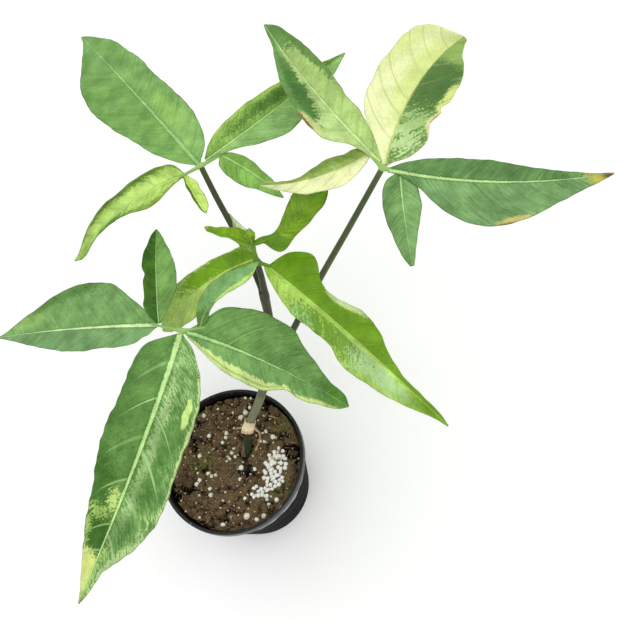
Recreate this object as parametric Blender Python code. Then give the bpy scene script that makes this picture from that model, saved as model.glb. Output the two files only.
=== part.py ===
"""Potted syngonium: four divided leaves on one leaning stem, in a black nursery pot of soil.

Run with blender --background --python part.py, or from Blender's text editor.
The model is in metres, +Z up. The origin is the centre of the pot's underside.
The sizes below are in millimetres and degrees and are turned to metres where meshes are made.
"""
import math
import random
from dataclasses import dataclass

import bmesh
import bpy
from mathutils import Matrix, Vector, noise

MM = 0.001

# Room left between two pieces that touch, so that their solids never share a face
SEAT = 0.3

# Nursery pot, thin-walled and turned
RIM_RADIUS = 54.0
BASE_RADIUS = 38.0
POT_HEIGHT = 82.0
POT_WALL = 1.2
LIP_HEIGHT = 7.0
LIP_STEP = 1.6
EDGE_ROUND = 0.7
POT_SIDES = 42
DRAIN_COUNT = 6
DRAIN_RADIUS = 4.0
DRAIN_CIRCLE = 26.0
DRAIN_SIDES = 12

# Soil with pale grains of perlite and a heap of round fertiliser prills
SOIL_LEVEL = 74.0
SOIL_RINGS = 9
SOIL_RELIEF = 1.1
SOIL_LUMP_SIZE = 9.0
# How far the lumpy top keeps from the pot's wall, and how far its grains do
SOIL_TOP_INSET = 0.4
GRAIN_INSET = 3.0
GRAIN_COUNT = 40
GRAIN_RADIUS = (1.1, 1.9)
GRAIN_SEED = 7
# Share of its radius that a grain's middle stands above the soil
GRAIN_STAND = 0.35
PRILL_RADIUS = 1.7
PRILL_COUNT = 16
PRILL_HEAP = (31.0, -5.0)
PRILL_HEAP_RADIUS = 8.0
# Discs of (x, y, radius) without grains, round the stem and under the surface root
GRAIN_FREE = ((10, 9, 10), (31, 35, 11))

# Stem, petioles and roots: tubes through a few points, with the radius at each end
STEM_POINTS = (
    (5, -5, 44), (7, 2, 62), (10, 9, 76), (13, 22, 91), (21, 35, 101),
    (28, 44, 114), (37, 58, 140), (45, 70, 168), (46, 82, 192),
)
STEM_RADIUS = 3.3
STEM_TOP_RADIUS = 2.9
STEM_SIDES = 12
STEM_SPAN_STEPS = 4
# Swollen nodes: the index of the path point, and how far the stem swells there
STEM_NODES = {20: 0.6, 23: 0.6, 32: 1.1}
NODE_SHEATH_SPAN = (11, 13)
NODE_SHEATH_WALL = (1.0, 1.1, 0.8)
STRAND_SPAN_STEPS = 4
ROOT_SIDES = 6

# Leaf blades are laminae of one thickness
BLADE_THICKNESS = 0.75
BLADE_STATION_LENGTH = 12.0
BLADE_STATION_RANGE = (6, 14)
BLADE_HALF_COLUMNS = 2
BLADE_ROOT_HALF_WIDTH = 1.3
BLADE_TIP_HALF_WIDTH = 0.45
RACHIS_RADIUS = 1.7
KNOT_RADIUS = 2.5
ARM_SIDES = 8
# The widths of a leaflet are stated at these fractions of its length, between its root and its tip
WIDTH_FRACTIONS = (0.0, 0.1, 0.3, 0.5, 0.7, 0.9, 1.0)
RIB_STEPS = 24
# A path whose direction has a smaller level share than this is treated as upright
UPRIGHT_LIMIT = 0.1

# Edges sharper than this many degrees are shaded as edges
SHARP_ANGLE = 40.0

# Linear colours and roughness: moulded plastic, damp peat, living skin, dry skin and leaf
BLACK = (0.012, 0.012, 0.014)
PEAT = (0.045, 0.024, 0.014)
STEM_GREEN = (0.05, 0.10, 0.03)
OLIVE = (0.06, 0.09, 0.03)
TAN = (0.45, 0.30, 0.16)
GREEN = (0.07, 0.20, 0.04)
YELLOW_GREEN = (0.20, 0.42, 0.05)
PLASTIC_ROUGHNESS = 0.38
PEAT_ROUGHNESS = 0.95
SKIN_ROUGHNESS = 0.5
DRY_ROUGHNESS = 0.8
LEAF_ROUGHNESS = 0.45


@dataclass(frozen=True)
class Leaflet:
    """One leaflet: its rib, and its half widths at 1, 3, 5, 7 and 9 tenths of the length."""

    name: str
    root: tuple
    length: float
    heading: float
    pitch: float
    left: tuple
    right: tuple
    sweep: float = 0.0
    droop: float = 0.0
    left_lift: float = 6.0
    right_lift: float = 6.0
    wave: float = 1.0
    waves: float = 3.0
    phase: float = 0.0


@dataclass(frozen=True)
class Leaf:
    """A compound leaf: the knot on its petiole, the arms that carry leaflets, and the leaflets."""

    name: str
    knot: tuple
    arms: tuple
    leaflets: tuple
    color: tuple = GREEN


@dataclass(frozen=True)
class Strand:
    """A round strand such as a petiole or a root, through points, tapering evenly."""

    name: str
    points: tuple
    start_radius: float
    end_radius: float
    color: tuple
    sides: int = 8


LEAF_A = Leaf(
    "leaf_a",
    knot=(11, 145, 241),
    arms=((1, 139, 241), (24, 151, 243)),
    leaflets=(
        Leaflet("A1", (10, 145.5, 242), 181, 133, 2, (15, 23, 31, 24, 6), (16, 22, 20, 17, 10), droop=15),
        Leaflet("A2", (1, 139, 241), 98, -165, -8, (7, 12, 5, 3, 5), (13, 14, 15, 11, 3), sweep=28, droop=18),
        Leaflet("A3", (1, 139, 241), 31, -56, -9, (2, 5, 5, 5, 4), (2, 3, 3, 3, 2)),
        Leaflet("A4", (14, 148.5, 242), 112, 32, 9, (10, 16, 15, 11, 5), (3, 18, 23, 16, 6), sweep=19, droop=14),
        Leaflet("A5", (24, 151, 243), 53, -28, 1, (4, 6, 6, 4, 2), (7, 11, 10, 7, 4), sweep=-13, droop=12),
    ),
)

LEAF_B = Leaf(
    "leaf_b",
    knot=(133, 118, 269),
    arms=((122.5, 120, 270), (143, 115, 269)),
    leaflets=(
        Leaflet("B1", (132, 121, 270), 130, 135, 11, (3, 16, 15, 9, 2), (7, 11, 15, 13, 8),
                sweep=-14, droop=17),
        Leaflet("B2", (134.5, 119.5, 270), 104, 81, 9, (8, 22, 26, 27, 25), (17, 20, 24, 20, 6),
                sweep=-26, droop=30),
        Leaflet("B3", (136.5, 116, 270), 125, -18, 2, (8, 14, 12, 7, 2), (2, 23, 27, 16, 4),
                sweep=44, droop=26),
        Leaflet("B4", (143, 115, 269), 53, -84, -4, (7, 10, 9, 6, 3), (5, 10, 10, 7, 4),
                sweep=5, droop=31),
        Leaflet("B5", (122.5, 120, 270), 66, -155, -6, (8, 14, 12, 8, 2), (8, 8, 7, 2, 2),
                sweep=-43, droop=7),
    ),
)

LEAF_C = Leaf(
    "leaf_c",
    knot=(4, 46, 209),
    arms=((-14, 50, 209), (16, 47, 211)),
    leaflets=(
        Leaflet("C1", (-14, 50, 209), 125, 181, 0, (13, 15, 16, 11, 3), (13, 30, 32, 20, 7), droop=16),
        Leaflet("C2", (-13, 51.5, 209), 66, 100, 14, (6, 8, 9, 8, 4), (7, 14, 14, 10, 5), sweep=1, droop=19),
        Leaflet("C3", (3.5, 44, 210), 180, -97, 0, (18, 29, 29, 22, 5), (23, 27, 26, 18, 6),
                sweep=-28, droop=34),
        Leaflet("C4", (7, 45, 210), 112, -17, 6, (17, 27, 27, 15, 5), (7, 15, 17, 10, 6),
                sweep=-5, droop=44),
        Leaflet("C5", (16, 47, 211), 62, 80, 15, (4, 8, 7, 3, 1), (4, 4, 6, 10, 7), sweep=-70),
    ),
)

LEAF_D = Leaf(
    "leaf_d",
    knot=(48, 90, 215),
    arms=((48, 96, 228), (53, 88, 216)),
    leaflets=(
        Leaflet("D1", (53.5, 88, 216), 149, -38, 3, (21, 12, 16, 5, 2), (8, 15, 15, 14, 4),
                sweep=-1, droop=31),
        Leaflet("D2", (47, 92.5, 215), 76, -169, -11, (11, 13, 15, 15, 9), (11, 12, 15, 12, 7),
                sweep=41, droop=25),
        Leaflet("D3", (48, 96, 228), 35, 160, 12, (4, 3, 3, 3, 4), (6, 6, 5, 2, 1), droop=22),
        Leaflet("D4", (48, 95.5, 228), 62, 6, 6, (2, 4, 9, 12, 6), (3, 10, 8, 10, 8), sweep=88),
        Leaflet("D5", (48, 97, 228), 14, 110, 70, (2, 3, 3, 2, 1), (2, 3, 3, 2, 1), droop=120),
    ),
    color=YELLOW_GREEN,
)

LEAVES = (LEAF_A, LEAF_B, LEAF_C, LEAF_D)

# Each petiole starts a seat away from the stem and ends a seat below its leaf's knot
PETIOLES = (
    Strand("petiole_a", ((43.8, 83.6, 191.6), (43.8, 85.1, 194.5), (38, 99, 203), (27, 117, 212),
                         (18, 132, 227), (11, 145, 241)), 2.3, 1.8, OLIVE),
    Strand("petiole_b", ((32, 43.3, 112.8), (34.5, 42.9, 112.2), (38, 46, 118), (41.5, 52, 128),
                         (48, 61, 143), (62, 70, 165), (85, 86, 200), (110, 101, 237),
                         (133, 118, 269)), 2.3, 1.7, OLIVE),
    Strand("petiole_c", ((30.7, 55.3, 134.2), (28.3, 55.7, 134.9), (25.5, 56.5, 139), (25, 58, 150),
                         (26, 60, 172), (18, 57, 190), (8, 50, 200), (4, 46, 209)), 2.3, 1.8, OLIVE),
    Strand("petiole_d", ((48.2, 80.6, 193), (48.4, 82.1, 196), (48.2, 86, 204), (48, 90, 215)),
           2.2, 2.0, OLIVE),
)

# Air roots that grow from the lowest node, with their starts in its sheath
NODE_ROOTS = (
    Strand("root_long", ((17.2, 21.6, 91), (20.5, 19, 88), (19, 14, 82), (15, 11, 76.4)), 0.8, 0.7, TAN, ROOT_SIDES),
    Strand("root_short", ((8.7, 22, 89.7), (4, 21.5, 88.5), (0, 21, 88)), 0.8, 0.5, TAN, ROOT_SIDES),
)

# A thin root that lies on the soil: its places, with the height that it arches to
SURFACE_ROOT_PLACES = ((22, 36, 0.0), (29, 34, 0.6), (36, 31, 0.0))
SURFACE_ROOT_RADIUS = 0.6

# The pale wing of the first petiole's sheath
PETIOLE_WING = Leaflet(
    "wing", (40, 96, 201), 36, 120, 24, (1, 1, 1, 1, 1), (2, 5, 7, 5, 2), right_lift=30, wave=0.4,
)


def clear_scene():
    """Remove whatever the scene holds."""
    for thing in list(bpy.data.objects):
        bpy.data.objects.remove(thing, do_unlink=True)


def finish_material(name, color, roughness):
    """A Principled BSDF of one colour; nothing on the plant or its pot is metal."""
    material = bpy.data.materials.new(name)
    material.use_nodes = True
    shader = material.node_tree.nodes["Principled BSDF"]
    shader.inputs["Base Color"].default_value = (*color, 1.0)
    shader.inputs["Roughness"].default_value = roughness
    shader.inputs["Metallic"].default_value = 0.0
    return material


def solid(name, points, faces):
    """An object from points in millimetres, with its faces turned outwards."""
    mesh = bpy.data.meshes.new(name)
    mesh.from_pydata([Vector(point) * MM for point in points], [], faces)
    shell = bmesh.new()
    shell.from_mesh(mesh)
    bmesh.ops.recalc_face_normals(shell, faces=shell.faces)
    bmesh.ops.triangulate(shell, faces=[face for face in shell.faces if len(face.verts) > 4])
    shell.to_mesh(mesh)
    shell.free()
    thing = bpy.data.objects.new(name, mesh)
    bpy.context.scene.collection.objects.link(thing)
    return thing


def dress(thing, color, roughness):
    """Give a finished object its own material and smooth shading between sharp edges."""
    thing.data.materials.clear()
    thing.data.materials.append(finish_material(thing.name, color, roughness))
    thing.data.shade_smooth()
    thing.data.set_sharp_from_angle(angle=math.radians(SHARP_ANGLE))
    return thing


def lathe(name, profile, sides):
    """Turn a closed profile of (radius, height) points; points at radius 0 become poles."""
    points = []
    rings = []
    for radius, height in profile:
        if radius == 0:
            rings.append([len(points)] * sides)
            points.append((0, 0, height))
            continue
        rings.append([len(points) + step for step in range(sides)])
        for step in range(sides):
            angle = math.tau * step / sides
            points.append((radius * math.cos(angle), radius * math.sin(angle), height))
    faces = []
    closed = zip(rings, rings[1:] + rings[:1]) if profile[0][0] else zip(rings, rings[1:])
    for low, high in closed:
        for step in range(sides):
            turn = (step + 1) % sides
            corners = (low[step], low[turn], high[turn], high[step])
            face = tuple(dict.fromkeys(corners))
            if len(face) > 2:
                faces.append(face)
    return solid(name, points, faces)


def smooth_path(points, steps):
    """Points along a smooth curve through the given points, steps to a span."""
    knots = [Vector(point) for point in points]
    spans = [(end - start).length for start, end in zip(knots, knots[1:])]
    chords = [(end - start).normalized() for start, end in zip(knots, knots[1:])]
    tangents = [chords[0]]
    for index in range(1, len(chords)):
        before, after = spans[index - 1], spans[index]
        tangents.append((chords[index - 1] * after + chords[index] * before) / (before + after))
    tangents.append(chords[-1])
    path = []
    for index, span in enumerate(spans):
        for step in range(steps):
            t = step / steps
            path.append(
                (2 * t ** 3 - 3 * t ** 2 + 1) * knots[index]
                + (t ** 3 - 2 * t ** 2 + t) * span * tangents[index]
                + (3 * t ** 2 - 2 * t ** 3) * knots[index + 1]
                + (t ** 3 - t ** 2) * span * tangents[index + 1]
            )
    path.append(knots[-1])
    return path


def path_frames(path):
    """Tangent and two cross directions at each point, carried along without twist."""
    tangents = []
    for index in range(len(path)):
        ahead = path[min(index + 1, len(path) - 1)]
        behind = path[max(index - 1, 0)]
        tangents.append((ahead - behind).normalized())
    side = tangents[0].cross(Vector((0, 0, 1)))
    if side.length < UPRIGHT_LIMIT:
        side = tangents[0].cross(Vector((0, 1, 0)))
    side.normalize()
    frames = []
    for tangent in tangents:
        side = (side - side.dot(tangent) * tangent).normalized()
        frames.append((tangent, side, tangent.cross(side)))
    return frames


def tube(name, path, radii, sides):
    """A round solid along a path, closed by flat ends."""
    points = []
    for center, radius, (_, side, up) in zip(path, radii, path_frames(path)):
        for step in range(sides):
            angle = math.tau * step / sides
            points.append(center + radius * (math.cos(angle) * side + math.sin(angle) * up))
    faces = [tuple(range(sides)), tuple(range(len(points) - sides, len(points)))]
    for ring in range(len(path) - 1):
        for step in range(sides):
            turn = (step + 1) % sides
            low = ring * sides
            high = low + sides
            faces.append((low + step, low + turn, high + turn, high + step))
    return solid(name, points, faces)


def ball(name, center, radius):
    """A small ball of twenty faces."""
    mesh = bpy.data.meshes.new(name)
    shell = bmesh.new()
    place = Matrix.Translation(Vector(center) * MM)
    bmesh.ops.create_icosphere(shell, subdivisions=1, radius=radius * MM, matrix=place)
    shell.to_mesh(mesh)
    shell.free()
    thing = bpy.data.objects.new(name, mesh)
    bpy.context.scene.collection.objects.link(thing)
    return thing


def boolean(thing, others, operation, solver="EXACT"):
    """Join others to an object or cut them from it, apply the result and remove them."""
    group = bpy.data.collections.new(thing.name + "_tools")
    bpy.context.scene.collection.children.link(group)
    for other in others:
        bpy.context.scene.collection.objects.unlink(other)
        group.objects.link(other)
    modifier = thing.modifiers.new(operation.title(), "BOOLEAN")
    modifier.operation = operation
    modifier.operand_type = "COLLECTION"
    modifier.collection = group
    modifier.solver = solver
    graph = bpy.context.evaluated_depsgraph_get()
    result = bpy.data.meshes.new_from_object(thing.evaluated_get(graph))
    thing.modifiers.remove(modifier)
    thing.data = result
    for other in others:
        bpy.data.objects.remove(other, do_unlink=True)
    bpy.data.collections.remove(group)
    return thing


def half_width(values, s):
    """Half width at fraction s of the length, smooth through the stated values."""
    fractions = WIDTH_FRACTIONS
    last = len(fractions) - 1
    widths = (BLADE_ROOT_HALF_WIDTH, *values, BLADE_TIP_HALF_WIDTH)
    index = max(i for i in range(last) if fractions[i] <= s or i == 0)
    span = fractions[index + 1] - fractions[index]
    t = (s - fractions[index]) / span

    def slope(i):
        ahead = min(i + 1, last)
        behind = max(i - 1, 0)
        return (widths[ahead] - widths[behind]) / (fractions[ahead] - fractions[behind])

    value = (
        (2 * t ** 3 - 3 * t ** 2 + 1) * widths[index]
        + (t ** 3 - 2 * t ** 2 + t) * slope(index) * span
        + (3 * t ** 2 - 2 * t ** 3) * widths[index + 1]
        + (t ** 3 - t ** 2) * slope(index + 1) * span
    )
    return max(value, BLADE_TIP_HALF_WIDTH)


def rib_point(leaflet, s):
    """Point and direction on the rib at fraction s; the rib bends evenly along its length."""
    point = Vector(leaflet.root)
    for step in range(RIB_STEPS):
        part = s * (step + 0.5) / RIB_STEPS
        point += rib_direction(leaflet, part) * leaflet.length * s / RIB_STEPS
    return point, rib_direction(leaflet, s)


def rib_direction(leaflet, s):
    """Direction of the rib at fraction s."""
    heading = math.radians(leaflet.heading + leaflet.sweep * s)
    pitch = math.radians(leaflet.pitch - leaflet.droop * s)
    flat = math.cos(pitch)
    return Vector((flat * math.cos(heading), flat * math.sin(heading), math.sin(pitch)))


def blade_point(leaflet, s, v):
    """Point on the blade's middle sheet; v runs from -1 at the left edge to 1 at the right."""
    point, tangent = rib_point(leaflet, s)
    right = tangent.cross(Vector((0, 0, 1))).normalized()
    up = right.cross(tangent)
    lift = math.radians(leaflet.right_lift if v > 0 else leaflet.left_lift)
    width = half_width(leaflet.right if v > 0 else leaflet.left, s)
    across = v * width * math.cos(lift)
    rise = abs(v) * width * math.sin(lift)
    swell = min(1.0, 4 * s * (1 - s))
    turn = math.tau * leaflet.waves * s + math.radians(leaflet.phase) + (math.pi / 2 if v > 0 else 0)
    rise += leaflet.wave * swell * v * v * math.sin(turn)
    return point + right * across + up * rise


def leaflet_solid(leaflet):
    """A thin waved lamina, split into the same triangles on both faces."""
    columns = 2 * BLADE_HALF_COLUMNS + 1
    fewest, most = BLADE_STATION_RANGE
    stations = min(most, max(fewest, round(leaflet.length / BLADE_STATION_LENGTH)))
    rows = stations + 1
    sheet = []
    for row in range(rows):
        s = row / stations
        for column in range(columns):
            sheet.append(blade_point(leaflet, s, column / BLADE_HALF_COLUMNS - 1))
    normals = []
    for row in range(rows):
        for column in range(columns):
            ahead = sheet[min(row + 1, rows - 1) * columns + column]
            behind = sheet[max(row - 1, 0) * columns + column]
            rightward = sheet[row * columns + min(column + 1, columns - 1)]
            leftward = sheet[row * columns + max(column - 1, 0)]
            normals.append((rightward - leftward).cross(ahead - behind).normalized())
    half = BLADE_THICKNESS / 2
    points = [point + normal * half for point, normal in zip(sheet, normals)]
    points += [point - normal * half for point, normal in zip(sheet, normals)]
    under = rows * columns
    faces = []
    for row in range(rows - 1):
        for column in range(columns - 1):
            a = row * columns + column
            b = a + 1
            c = b + columns
            d = a + columns
            for face in ((a, b, c), (a, c, d)):
                faces.append(face)
                faces.append(tuple(under + corner for corner in reversed(face)))
    border = [row * columns for row in range(rows)]
    border += [(rows - 1) * columns + column for column in range(1, columns)]
    border += [row * columns + columns - 1 for row in range(rows - 2, -1, -1)]
    border += list(range(columns - 2, 0, -1))
    for start, end in zip(border, border[1:] + border[:1]):
        faces.append((start, end, under + end))
        faces.append((start, under + end, under + start))
    return solid(leaflet.name, points, faces)


def inner_radius(height):
    """Radius of the pot's inner wall at a height below its lip."""
    taper = (RIM_RADIUS - LIP_STEP - BASE_RADIUS) / (POT_HEIGHT - LIP_HEIGHT)
    return BASE_RADIUS - POT_WALL + taper * height


def build_pot():
    """Tapered pot with a stepped lip and round drain holes near the edge of its floor."""
    step_height = POT_HEIGHT - LIP_HEIGHT
    wall_top = RIM_RADIUS - LIP_STEP
    inside_rim = RIM_RADIUS - POT_WALL - EDGE_ROUND
    profile = [
        (0, 0), (BASE_RADIUS - EDGE_ROUND, 0), (BASE_RADIUS, EDGE_ROUND), (wall_top, step_height),
        (RIM_RADIUS - EDGE_ROUND, step_height + EDGE_ROUND), (RIM_RADIUS, step_height + 2 * EDGE_ROUND),
        (RIM_RADIUS, POT_HEIGHT - EDGE_ROUND), (RIM_RADIUS - EDGE_ROUND, POT_HEIGHT),
        (inside_rim, POT_HEIGHT), (inside_rim - EDGE_ROUND / 2, POT_HEIGHT - EDGE_ROUND),
        (inner_radius(step_height + EDGE_ROUND), step_height + EDGE_ROUND),
        (inner_radius(POT_WALL), POT_WALL), (0, POT_WALL),
    ]
    pot = lathe("pot", profile, POT_SIDES)
    drills = []
    for index in range(DRAIN_COUNT):
        angle = math.tau * (index + 0.5) / DRAIN_COUNT
        center = Vector((DRAIN_CIRCLE * math.cos(angle), DRAIN_CIRCLE * math.sin(angle), 0))
        path = [center - Vector((0, 0, POT_WALL)), center + Vector((0, 0, 2 * POT_WALL))]
        drills.append(tube("drill", path, [DRAIN_RADIUS] * 2, DRAIN_SIDES))
    boolean(pot, drills, "DIFFERENCE")
    return dress(pot, BLACK, PLASTIC_ROUGHNESS)


def soil_height(x, y):
    """Height of the soil at a place, raised and sunk by smooth lumps."""
    place = Vector((x, y, 0)) / SOIL_LUMP_SIZE
    return SOIL_LEVEL + SOIL_RELIEF * noise.fractal(place, 1.0, 2.0, 3)


def build_soil(stem_path, stem_radii):
    """The soil body with a lumpy top, its grains and prills, and the hole that the stem stands in."""
    floor = POT_WALL + SEAT
    points = [(0, 0, floor)]
    rings = []
    shoulder = SOIL_LEVEL - 2 * SOIL_RELIEF
    levels = [(inner_radius(height) - SEAT, height) for height in (floor, shoulder)]
    for radius, height in levels:
        rings.append([len(points) + step for step in range(POT_SIDES)])
        for step in range(POT_SIDES):
            angle = math.tau * step / POT_SIDES
            points.append((radius * math.cos(angle), radius * math.sin(angle), height))
    top_radius = levels[1][0] - SOIL_TOP_INSET
    for ring in range(SOIL_RINGS, 0, -1):
        radius = top_radius * ring / SOIL_RINGS
        rings.append([len(points) + step for step in range(POT_SIDES)])
        for step in range(POT_SIDES):
            angle = math.tau * step / POT_SIDES
            x = radius * math.cos(angle)
            y = radius * math.sin(angle)
            points.append((x, y, soil_height(x, y)))
    points.append((0, 0, soil_height(0, 0)))
    faces = []
    for step in range(POT_SIDES):
        turn = (step + 1) % POT_SIDES
        faces.append((0, rings[0][turn], rings[0][step]))
        faces.append((rings[-1][step], rings[-1][turn], len(points) - 1))
        for low, high in zip(rings, rings[1:]):
            faces.append((low[step], low[turn], high[turn]))
            faces.append((low[step], high[turn], high[step]))
    soil = solid("soil", points, faces)
    boolean(soil, soil_grains(top_radius), "UNION")
    hole_radii = [radius + SEAT for radius in stem_radii]
    start = stem_path[0] - (stem_path[1] - stem_path[0]).normalized() * SEAT
    hole = tube("hole", [start, *stem_path[1:]], hole_radii, STEM_SIDES)
    boolean(soil, [hole], "DIFFERENCE")
    return dress(soil, PEAT, PEAT_ROUGHNESS)


def soil_grains(top_radius):
    """Perlite grains over the whole soil and a heap of prills, each sunk to a third of its height."""
    draw = random.Random(GRAIN_SEED)
    grains = []
    while len(grains) < GRAIN_COUNT + PRILL_COUNT:
        heap = len(grains) >= GRAIN_COUNT
        reach = PRILL_HEAP_RADIUS if heap else top_radius - GRAIN_INSET
        distance = reach * math.sqrt(draw.random())
        angle = math.tau * draw.random()
        x = distance * math.cos(angle) + (PRILL_HEAP[0] if heap else 0)
        y = distance * math.sin(angle) + (PRILL_HEAP[1] if heap else 0)
        radius = PRILL_RADIUS if heap else draw.uniform(*GRAIN_RADIUS)
        near = any(math.hypot(x - cx, y - cy) < clear for cx, cy, clear in GRAIN_FREE)
        if near or math.hypot(x, y) > top_radius - GRAIN_INSET:
            continue
        grains.append(ball("grain", (x, y, soil_height(x, y) + radius * GRAIN_STAND), radius))
    return grains


def stem_line():
    """The stem's path and radius at each point, with swollen nodes where leaves have grown."""
    path = smooth_path(STEM_POINTS, STEM_SPAN_STEPS)
    taper = (STEM_TOP_RADIUS - STEM_RADIUS) / (len(path) - 1)
    return path, [STEM_RADIUS + taper * index + STEM_NODES.get(index, 0) for index in range(len(path))]


def build_node_sheath(stem_path, stem_radii):
    """The dry sheath left by an old leaf, a sleeve round the lowest node with room inside it."""
    first, last = NODE_SHEATH_SPAN
    path = stem_path[first:last + 1]
    inner = [radius + SEAT for radius in stem_radii[first:last + 1]]
    outer = [radius + wall for radius, wall in zip(inner, NODE_SHEATH_WALL)]
    frames = path_frames(path)
    points = []
    for radii in (inner, outer):
        for center, radius, (_, side, up) in zip(path, radii, frames):
            for step in range(STEM_SIDES):
                angle = math.tau * step / STEM_SIDES
                points.append(center + radius * (math.cos(angle) * side + math.sin(angle) * up))
    count = len(path)
    around = list(range(count)) + list(range(2 * count - 1, count - 1, -1))
    faces = []
    for ring, after in zip(around, around[1:] + around[:1]):
        for step in range(STEM_SIDES):
            turn = (step + 1) % STEM_SIDES
            low = ring * STEM_SIDES
            high = after * STEM_SIDES
            faces.append((low + step, low + turn, high + turn, high + step))
    sheath = solid("node_sheath", points, faces)
    boolean(sheath, [strand_solid(root) for root in NODE_ROOTS], "UNION")
    return dress(sheath, TAN, DRY_ROUGHNESS)


def build_surface_root():
    """A thin pale root lying on the soil."""
    rest = SURFACE_ROOT_RADIUS + SEAT
    points = [(x, y, soil_height(x, y) + rest + arch) for x, y, arch in SURFACE_ROOT_PLACES]
    path = smooth_path(points, STRAND_SPAN_STEPS)
    radii = [SURFACE_ROOT_RADIUS] * len(path)
    return dress(tube("root_surface", path, radii, ROOT_SIDES), TAN, DRY_ROUGHNESS)


def strand_solid(strand, trim=0.0):
    """A petiole or a root, its end drawn back by the trim."""
    points = [Vector(point) for point in strand.points]
    points[-1] -= (points[-1] - points[-2]).normalized() * trim
    path = smooth_path(points, STRAND_SPAN_STEPS)
    last = len(path) - 1
    radii = [
        strand.start_radius + (strand.end_radius - strand.start_radius) * index / last
        for index in range(last + 1)
    ]
    return tube(strand.name, path, radii, strand.sides)


def build_petiole(petiole):
    """A petiole, with the pale wing of its sheath on the first."""
    stalk = strand_solid(petiole, KNOT_RADIUS + SEAT)
    if petiole is PETIOLES[0]:
        boolean(stalk, [leaflet_solid(PETIOLE_WING)], "UNION")
    return dress(stalk, petiole.color, SKIN_ROUGHNESS)


def build_leaf(leaf):
    """Join a leaf's arms and leaflets to the knot at the top of its petiole."""
    pieces = [leaflet_solid(leaflet) for leaflet in leaf.leaflets]
    knot = Vector(leaf.knot)
    for arm in leaf.arms:
        end = Vector(arm)
        reach = (end - knot).normalized() * RACHIS_RADIUS
        pieces.append(tube("arm", [knot, (knot + end) / 2, end + reach], [RACHIS_RADIUS] * 3, ARM_SIDES))
    blade = boolean(ball(leaf.name, leaf.knot, KNOT_RADIUS), pieces, "UNION", "MANIFOLD")
    return dress(blade, leaf.color, LEAF_ROUGHNESS)


def main():
    """Build every piece of the plant and its pot."""
    clear_scene()
    build_pot()
    stem_path, stem_radii = stem_line()
    build_soil(stem_path, stem_radii)
    dress(tube("stem", stem_path, stem_radii, STEM_SIDES), STEM_GREEN, SKIN_ROUGHNESS)
    build_node_sheath(stem_path, stem_radii)
    build_surface_root()
    for petiole in PETIOLES:
        build_petiole(petiole)
    for leaf in LEAVES:
        build_leaf(leaf)


if __name__ == "__main__":
    main()
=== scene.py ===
"""A potted syngonium: variegated compound leaves on a leaning stem, in a black nursery pot of soil.

The classes hold their sizes in millimetres. Meshes are in metres, in the row's frame: the origin is
at the middle of the pot's underside, +Z is up and -Y is the front.
"""

import logging
import math
from dataclasses import dataclass, field
from enum import Enum
from typing import Any

import bpy
import numpy as np
from mathutils import Matrix, Vector, noise


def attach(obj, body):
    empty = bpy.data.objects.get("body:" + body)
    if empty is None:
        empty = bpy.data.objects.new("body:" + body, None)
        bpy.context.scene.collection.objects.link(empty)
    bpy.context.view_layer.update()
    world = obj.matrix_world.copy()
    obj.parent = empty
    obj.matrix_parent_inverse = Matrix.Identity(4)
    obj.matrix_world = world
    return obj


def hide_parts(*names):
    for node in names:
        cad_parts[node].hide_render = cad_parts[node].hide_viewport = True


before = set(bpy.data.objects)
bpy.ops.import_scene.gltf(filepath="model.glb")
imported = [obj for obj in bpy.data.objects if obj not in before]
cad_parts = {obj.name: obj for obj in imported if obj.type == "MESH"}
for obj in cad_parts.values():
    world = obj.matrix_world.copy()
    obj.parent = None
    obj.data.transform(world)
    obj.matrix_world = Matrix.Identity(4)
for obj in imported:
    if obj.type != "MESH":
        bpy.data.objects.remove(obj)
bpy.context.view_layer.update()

log = logging.getLogger("syngonium")

MM = 0.001
# The gap between neighbouring solids, in millimetres
SEAT = 0.3
BODY = "root"
# What the sheen adds to a lit leaf's colour, in linear light
SHEEN_SHARE = 0.022
# Map Range nodes are given their value, the two ends that it comes from and the two that it goes to.
# This setting makes their ends soft.
SOFT = {"interpolation_type": "SMOOTHSTEP"}

# The kinds of node that are used most
MATH = "ShaderNodeMath"
MAP_RANGE = "ShaderNodeMapRange"
NOISE = "ShaderNodeTexNoise"
VECTOR_MATH = "ShaderNodeVectorMath"
ATTRIBUTE = "ShaderNodeAttribute"

Point = tuple[float, float, float]
Piece = bpy.types.Object
Tree = bpy.types.NodeTree
Node = bpy.types.Node
Material = bpy.types.Material
# What a link starts from: a socket, or a node that stands for its first output
Source = bpy.types.NodeSocket | bpy.types.Node


class Slot(Enum):
    """The material slots."""

    POT = "pot_plastic"
    SOIL = "potting_soil"
    STEM = "stem_skin"
    PETIOLE = "petiole_skin"
    SHEATH = "dry_sheath"
    GREEN = "leaf_green"
    CREAM = "leaf_cream"
    YOUNG = "leaf_young"


class Side(Enum):
    """The half of a blade that a marking keeps to, seen from its base towards its tip."""

    LEFT = -1
    BOTH = 0
    RIGHT = 1


LEFT, BOTH, RIGHT = Side

# Shared helpers


def linear_colour(code: str) -> tuple[float, float, float, float]:
    """Turn an sRGB hex colour into linear values.

    Args:
        code: the colour as "#rrggbb".

    Returns:
        Linear red, green and blue, with an alpha of 1.
    """
    values = []
    for start in (1, 3, 5):
        share = int(code[start:start + 2], 16) / 255
        values.append(share / 12.92 if share <= 0.04045 else ((share + 0.055) / 1.055) ** 2.4)
    return (values[0], values[1], values[2], 1.0)


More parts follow.
